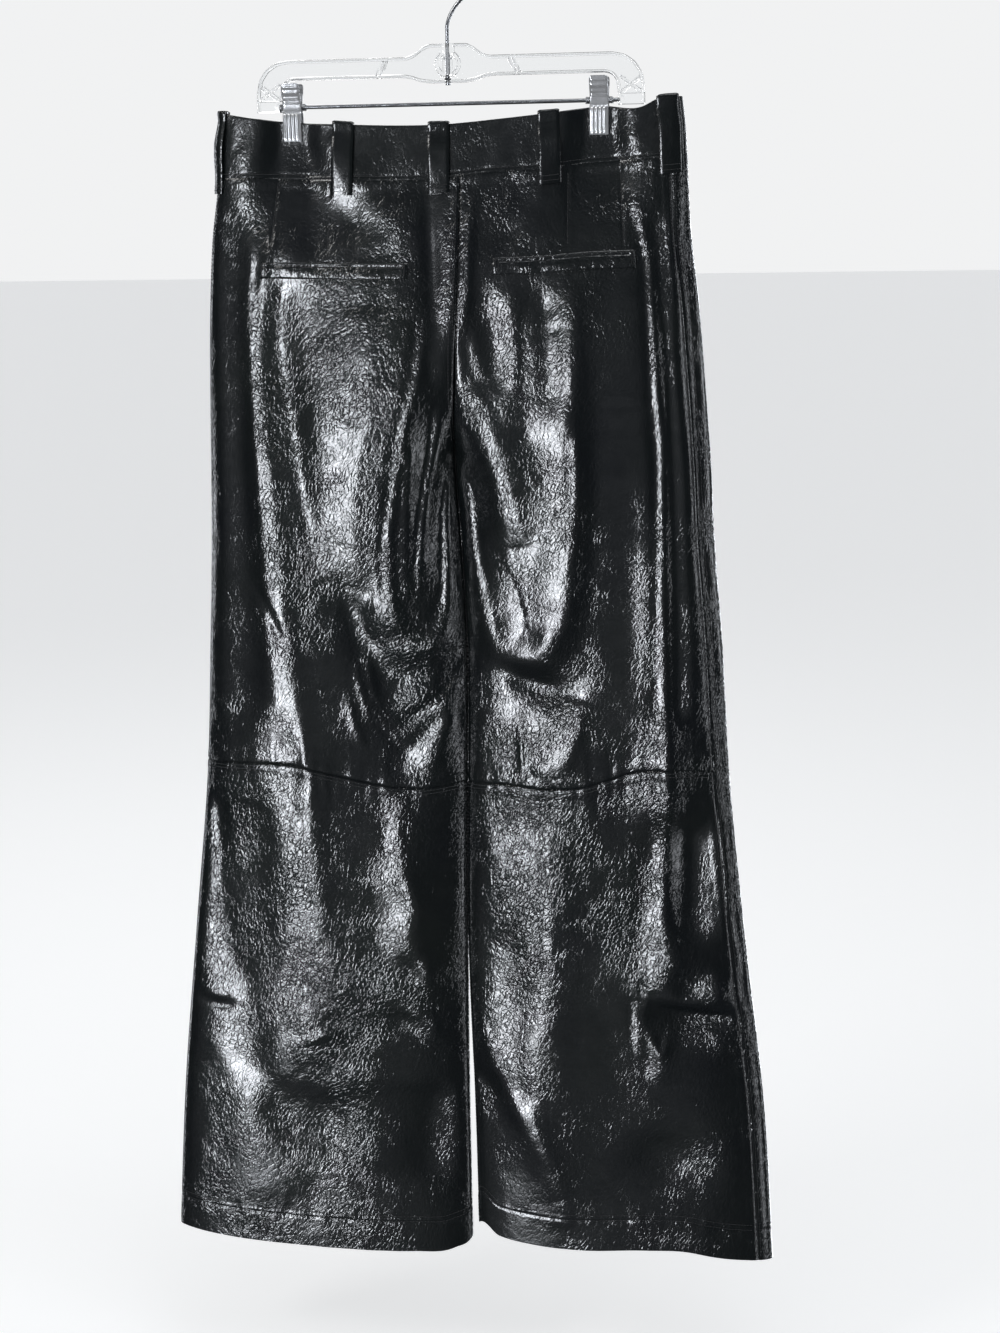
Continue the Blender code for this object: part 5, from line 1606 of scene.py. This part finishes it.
# Each finish, and what is made of it
bigPieces = [leg["object"] for leg in legs.values()]
trimPieces = [part["object"] for part in (*waistband.values(), *beltLoops.values(), *welts.values(), flyFlap)]
finishes = (
    (makeLeather("fauxLeather"), bigPieces),
    (makeLeather("fauxLeatherTrim", 0.75), trimPieces),
    (makeThreadFinish(), [*threads, buttonThread]),
    (makeClear(), [hangerBody]),
    (makeMetal("chromePlate", (0.66, 0.67, 0.69), 0.1, 0.24, (1, 1, 0.25), 0.6), clipJaws),
    (makeMetal("brightWire", (0.5, 0.51, 0.53), 0.12, 0.28, (0.2, 1, 1)),
     [hookWire, hookNuts, rodBar, clipSprings]),
    (makeButtonFinish(), [waistButton]),
)
for finish, pieces in finishes:
    for piece in pieces:
        piece.data.materials.clear()
        piece.data.materials.append(finish)
        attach(piece, "root")
studio = {
    "eye": (0.3363, -1.9050, -0.2448),
    "target": (0.039, 0.0, -0.668),
    "roll": -0.93,
    "lens": 55.36,
    "floor": -1.42,
    "floorReach": 40.0,
    "paper": (0.80, 0.805, 0.81),
    "room": (0.91, 0.945, 1.0),
    "roomDim": 0.042,
    "wall": 1.1,
    "floorGlow": 0.74,
    "pane": 0.17,
    "paneDepth": 0.75,
    # soft windows of the room: azimuth from the photographed side, half width and its soft edge,
    # lowest and highest elevation and their soft edge, in degrees, and brightness
    "windows": (
        (-23.5, 4, 3, -23.3, 4, 6, 34.0),
        (-23.5, 24, 20, -46, 24, 16, 0.3),
        (66, 4, 3, -35, 30, 12, 5.0),
        (14, 60, 20, 52, 80, 10, 1.2),
        (158, 3.5, 2.5, -36, 16, 12, 12.0),
        (-142, 3, 3, -30, 20, 12, 4.0),
        (112, 3.5, 3, -30, 20, 12, 6.0),
        (-108, 3.5, 3, -30, 20, 12, 6.0),
    ),
    # name: where, what it points at, width, height, watts, colour
    "lamps": (
        ("keyLeft", (-1.7, -1.7, 1.2), (0.0, 0.0, -0.7), 0.8, 0.8, 14.0, (1.0, 0.99, 0.97)),
        ("fillTop", (0.6, -0.6, 1.6), (0.0, 0.0, -0.9), 1.4, 1.4, 12.0, (0.97, 0.99, 1.0)),
        ("backTop", (-0.9, 1.9, 1.2), (0.0, 0.0, -0.65), 0.9, 0.9, 12.0, (1.0, 1.0, 0.99)),
    ),
}


def addStaged(name, data, where=(0, 0, 0), at=None, roll=0.0):
    # puts a thing of the studio somewhere, and points it at a place
    made = bpy.data.objects.new(name, data)
    made.location = where
    if at is not None:
        made.rotation_mode = "QUATERNION"
        way = (Vector(at) - Vector(where)).to_track_quat("-Z", "Y")
        made.rotation_quaternion = way @ Quaternion((0, 0, 1), math.radians(roll))
    bpy.context.scene.collection.objects.link(made)
    return made


def makeStage():
    scene = bpy.context.scene
    scene.view_settings.view_transform = "Standard"
    for name, where, at, wide, high, watts, colour in studio["lamps"]:
        light = bpy.data.lights.new(name, "AREA")
        light.shape, light.size, light.size_y = "RECTANGLE", wide, high
        light.energy, light.color = watts, colour
        addStaged(name, light, where, at)
    far, low = studio["floorReach"], studio["floor"]
    mesh = bpy.data.meshes.new("floor")
    corners = [(-far, -far, low), (far, -far, low), (far, far, low), (-far, far, low)]
    mesh.from_pydata(corners, [], [(0, 1, 2, 3)])
    floor = addStaged("floor", mesh)
    floor.visible_glossy = False
    paper = (*studio["paper"], 1)
    finish, tree, shader, place = newMaterial("paper", studio["paper"], 0.9)
    shade = mixed(tree, noiseAt(tree, place, 3.0), paper, (*(c * 0.985 for c in studio["paper"]), 1))
    feed(tree, shader.inputs["Base Color"], shade)
    shader.inputs["Emission Color"].default_value = paper
    shader.inputs["Emission Strength"].default_value = studio["floorGlow"]
    mesh.materials.append(finish)
    lens = bpy.data.cameras.new("camera")
    lens.lens, lens.sensor_width = studio["lens"], 36
    lens.dof.use_dof = False
    scene.camera = addStaged("camera", lens, studio["eye"], studio["target"], studio["roll"])


def makeRoom():
    world = bpy.data.worlds.new("room")
    bpy.context.scene.world = world
    world.use_nodes = True
    tree = world.node_tree
    tree.nodes.clear()
    way = node(tree, "VectorMath", {0: node(tree, "TexCoord").outputs["Generated"]}, operation="NORMALIZE")
    flat = node(tree, "VectorMath", {0: way.outputs["Vector"], 1: (1, 1, 0)}, operation="MULTIPLY")
    heading = node(tree, "VectorMath", {0: flat.outputs["Vector"]}, operation="NORMALIZE").outputs["Vector"]
    height = node(tree, "SeparateXYZ", {0: way.outputs["Vector"]}).outputs["Z"]
    # the windows' panes, one over the other
    panes = mathNode(tree, "SINE", mathNode(tree, "MULTIPLY", height, 2 * math.pi / studio["pane"]))
    panes = mathNode(tree, "MULTIPLY_ADD", panes, studio["paneDepth"] / 2, 1 - studio["paneDepth"] / 2)

    def within(value, ratio, none, full):
        # rises softly between two angles
        none, full = ratio(math.radians(none)), ratio(math.radians(full))
        return mapRange(tree, value, none, full, 0.0, 1.0, interpolation_type="SMOOTHSTEP")

    total = studio["roomDim"]
    for azimuth, half, edge, lowEnd, highEnd, fade, strength in studio["windows"]:
        turn = math.radians(azimuth)
        toward = node(tree, "VectorMath", {0: heading, 1: (math.sin(turn), -math.cos(turn), 0)},
                      operation="DOT_PRODUCT").outputs["Value"]
        wide = within(toward, math.cos, half + edge, max(half - edge, 0))
        over = within(height, math.sin, lowEnd - fade, lowEnd + fade)
        under = within(height, math.sin, highEnd + fade, highEnd - fade)
        here = mathNode(tree, "MULTIPLY", mathNode(tree, "MULTIPLY", wide, over), under)
        total = mathNode(tree, "MULTIPLY_ADD", mathNode(tree, "MULTIPLY", here, panes), strength, total)
    lit = node(tree, "Background", {"Color": (*studio["room"], 1), "Strength": total})
    # what shines through the clear hanger is paler near the horizon than above and below
    path = node(tree, "LightPath")
    steep = mathNode(tree, "ABSOLUTE", height)
    paler = mapRange(tree, steep, 0.35, 0.75, studio["wall"], studio["wall"] * 0.3)
    strength = mixed(tree, path.outputs["Is Transmission Ray"], studio["wall"], paler, "FLOAT")
    seen = node(tree, "Background", {"Color": (*studio["paper"], 1), "Strength": strength})
    straight = mathNode(tree, "MAXIMUM", path.outputs["Is Camera Ray"], path.outputs["Is Transmission Ray"])
    both = node(tree, "MixShader", {"Fac": straight, 1: lit.outputs[0], 2: seen.outputs[0]})
    node(tree, "OutputWorld", {"Surface": both.outputs[0]})


makeStage()
makeRoom()
print("studio lit")
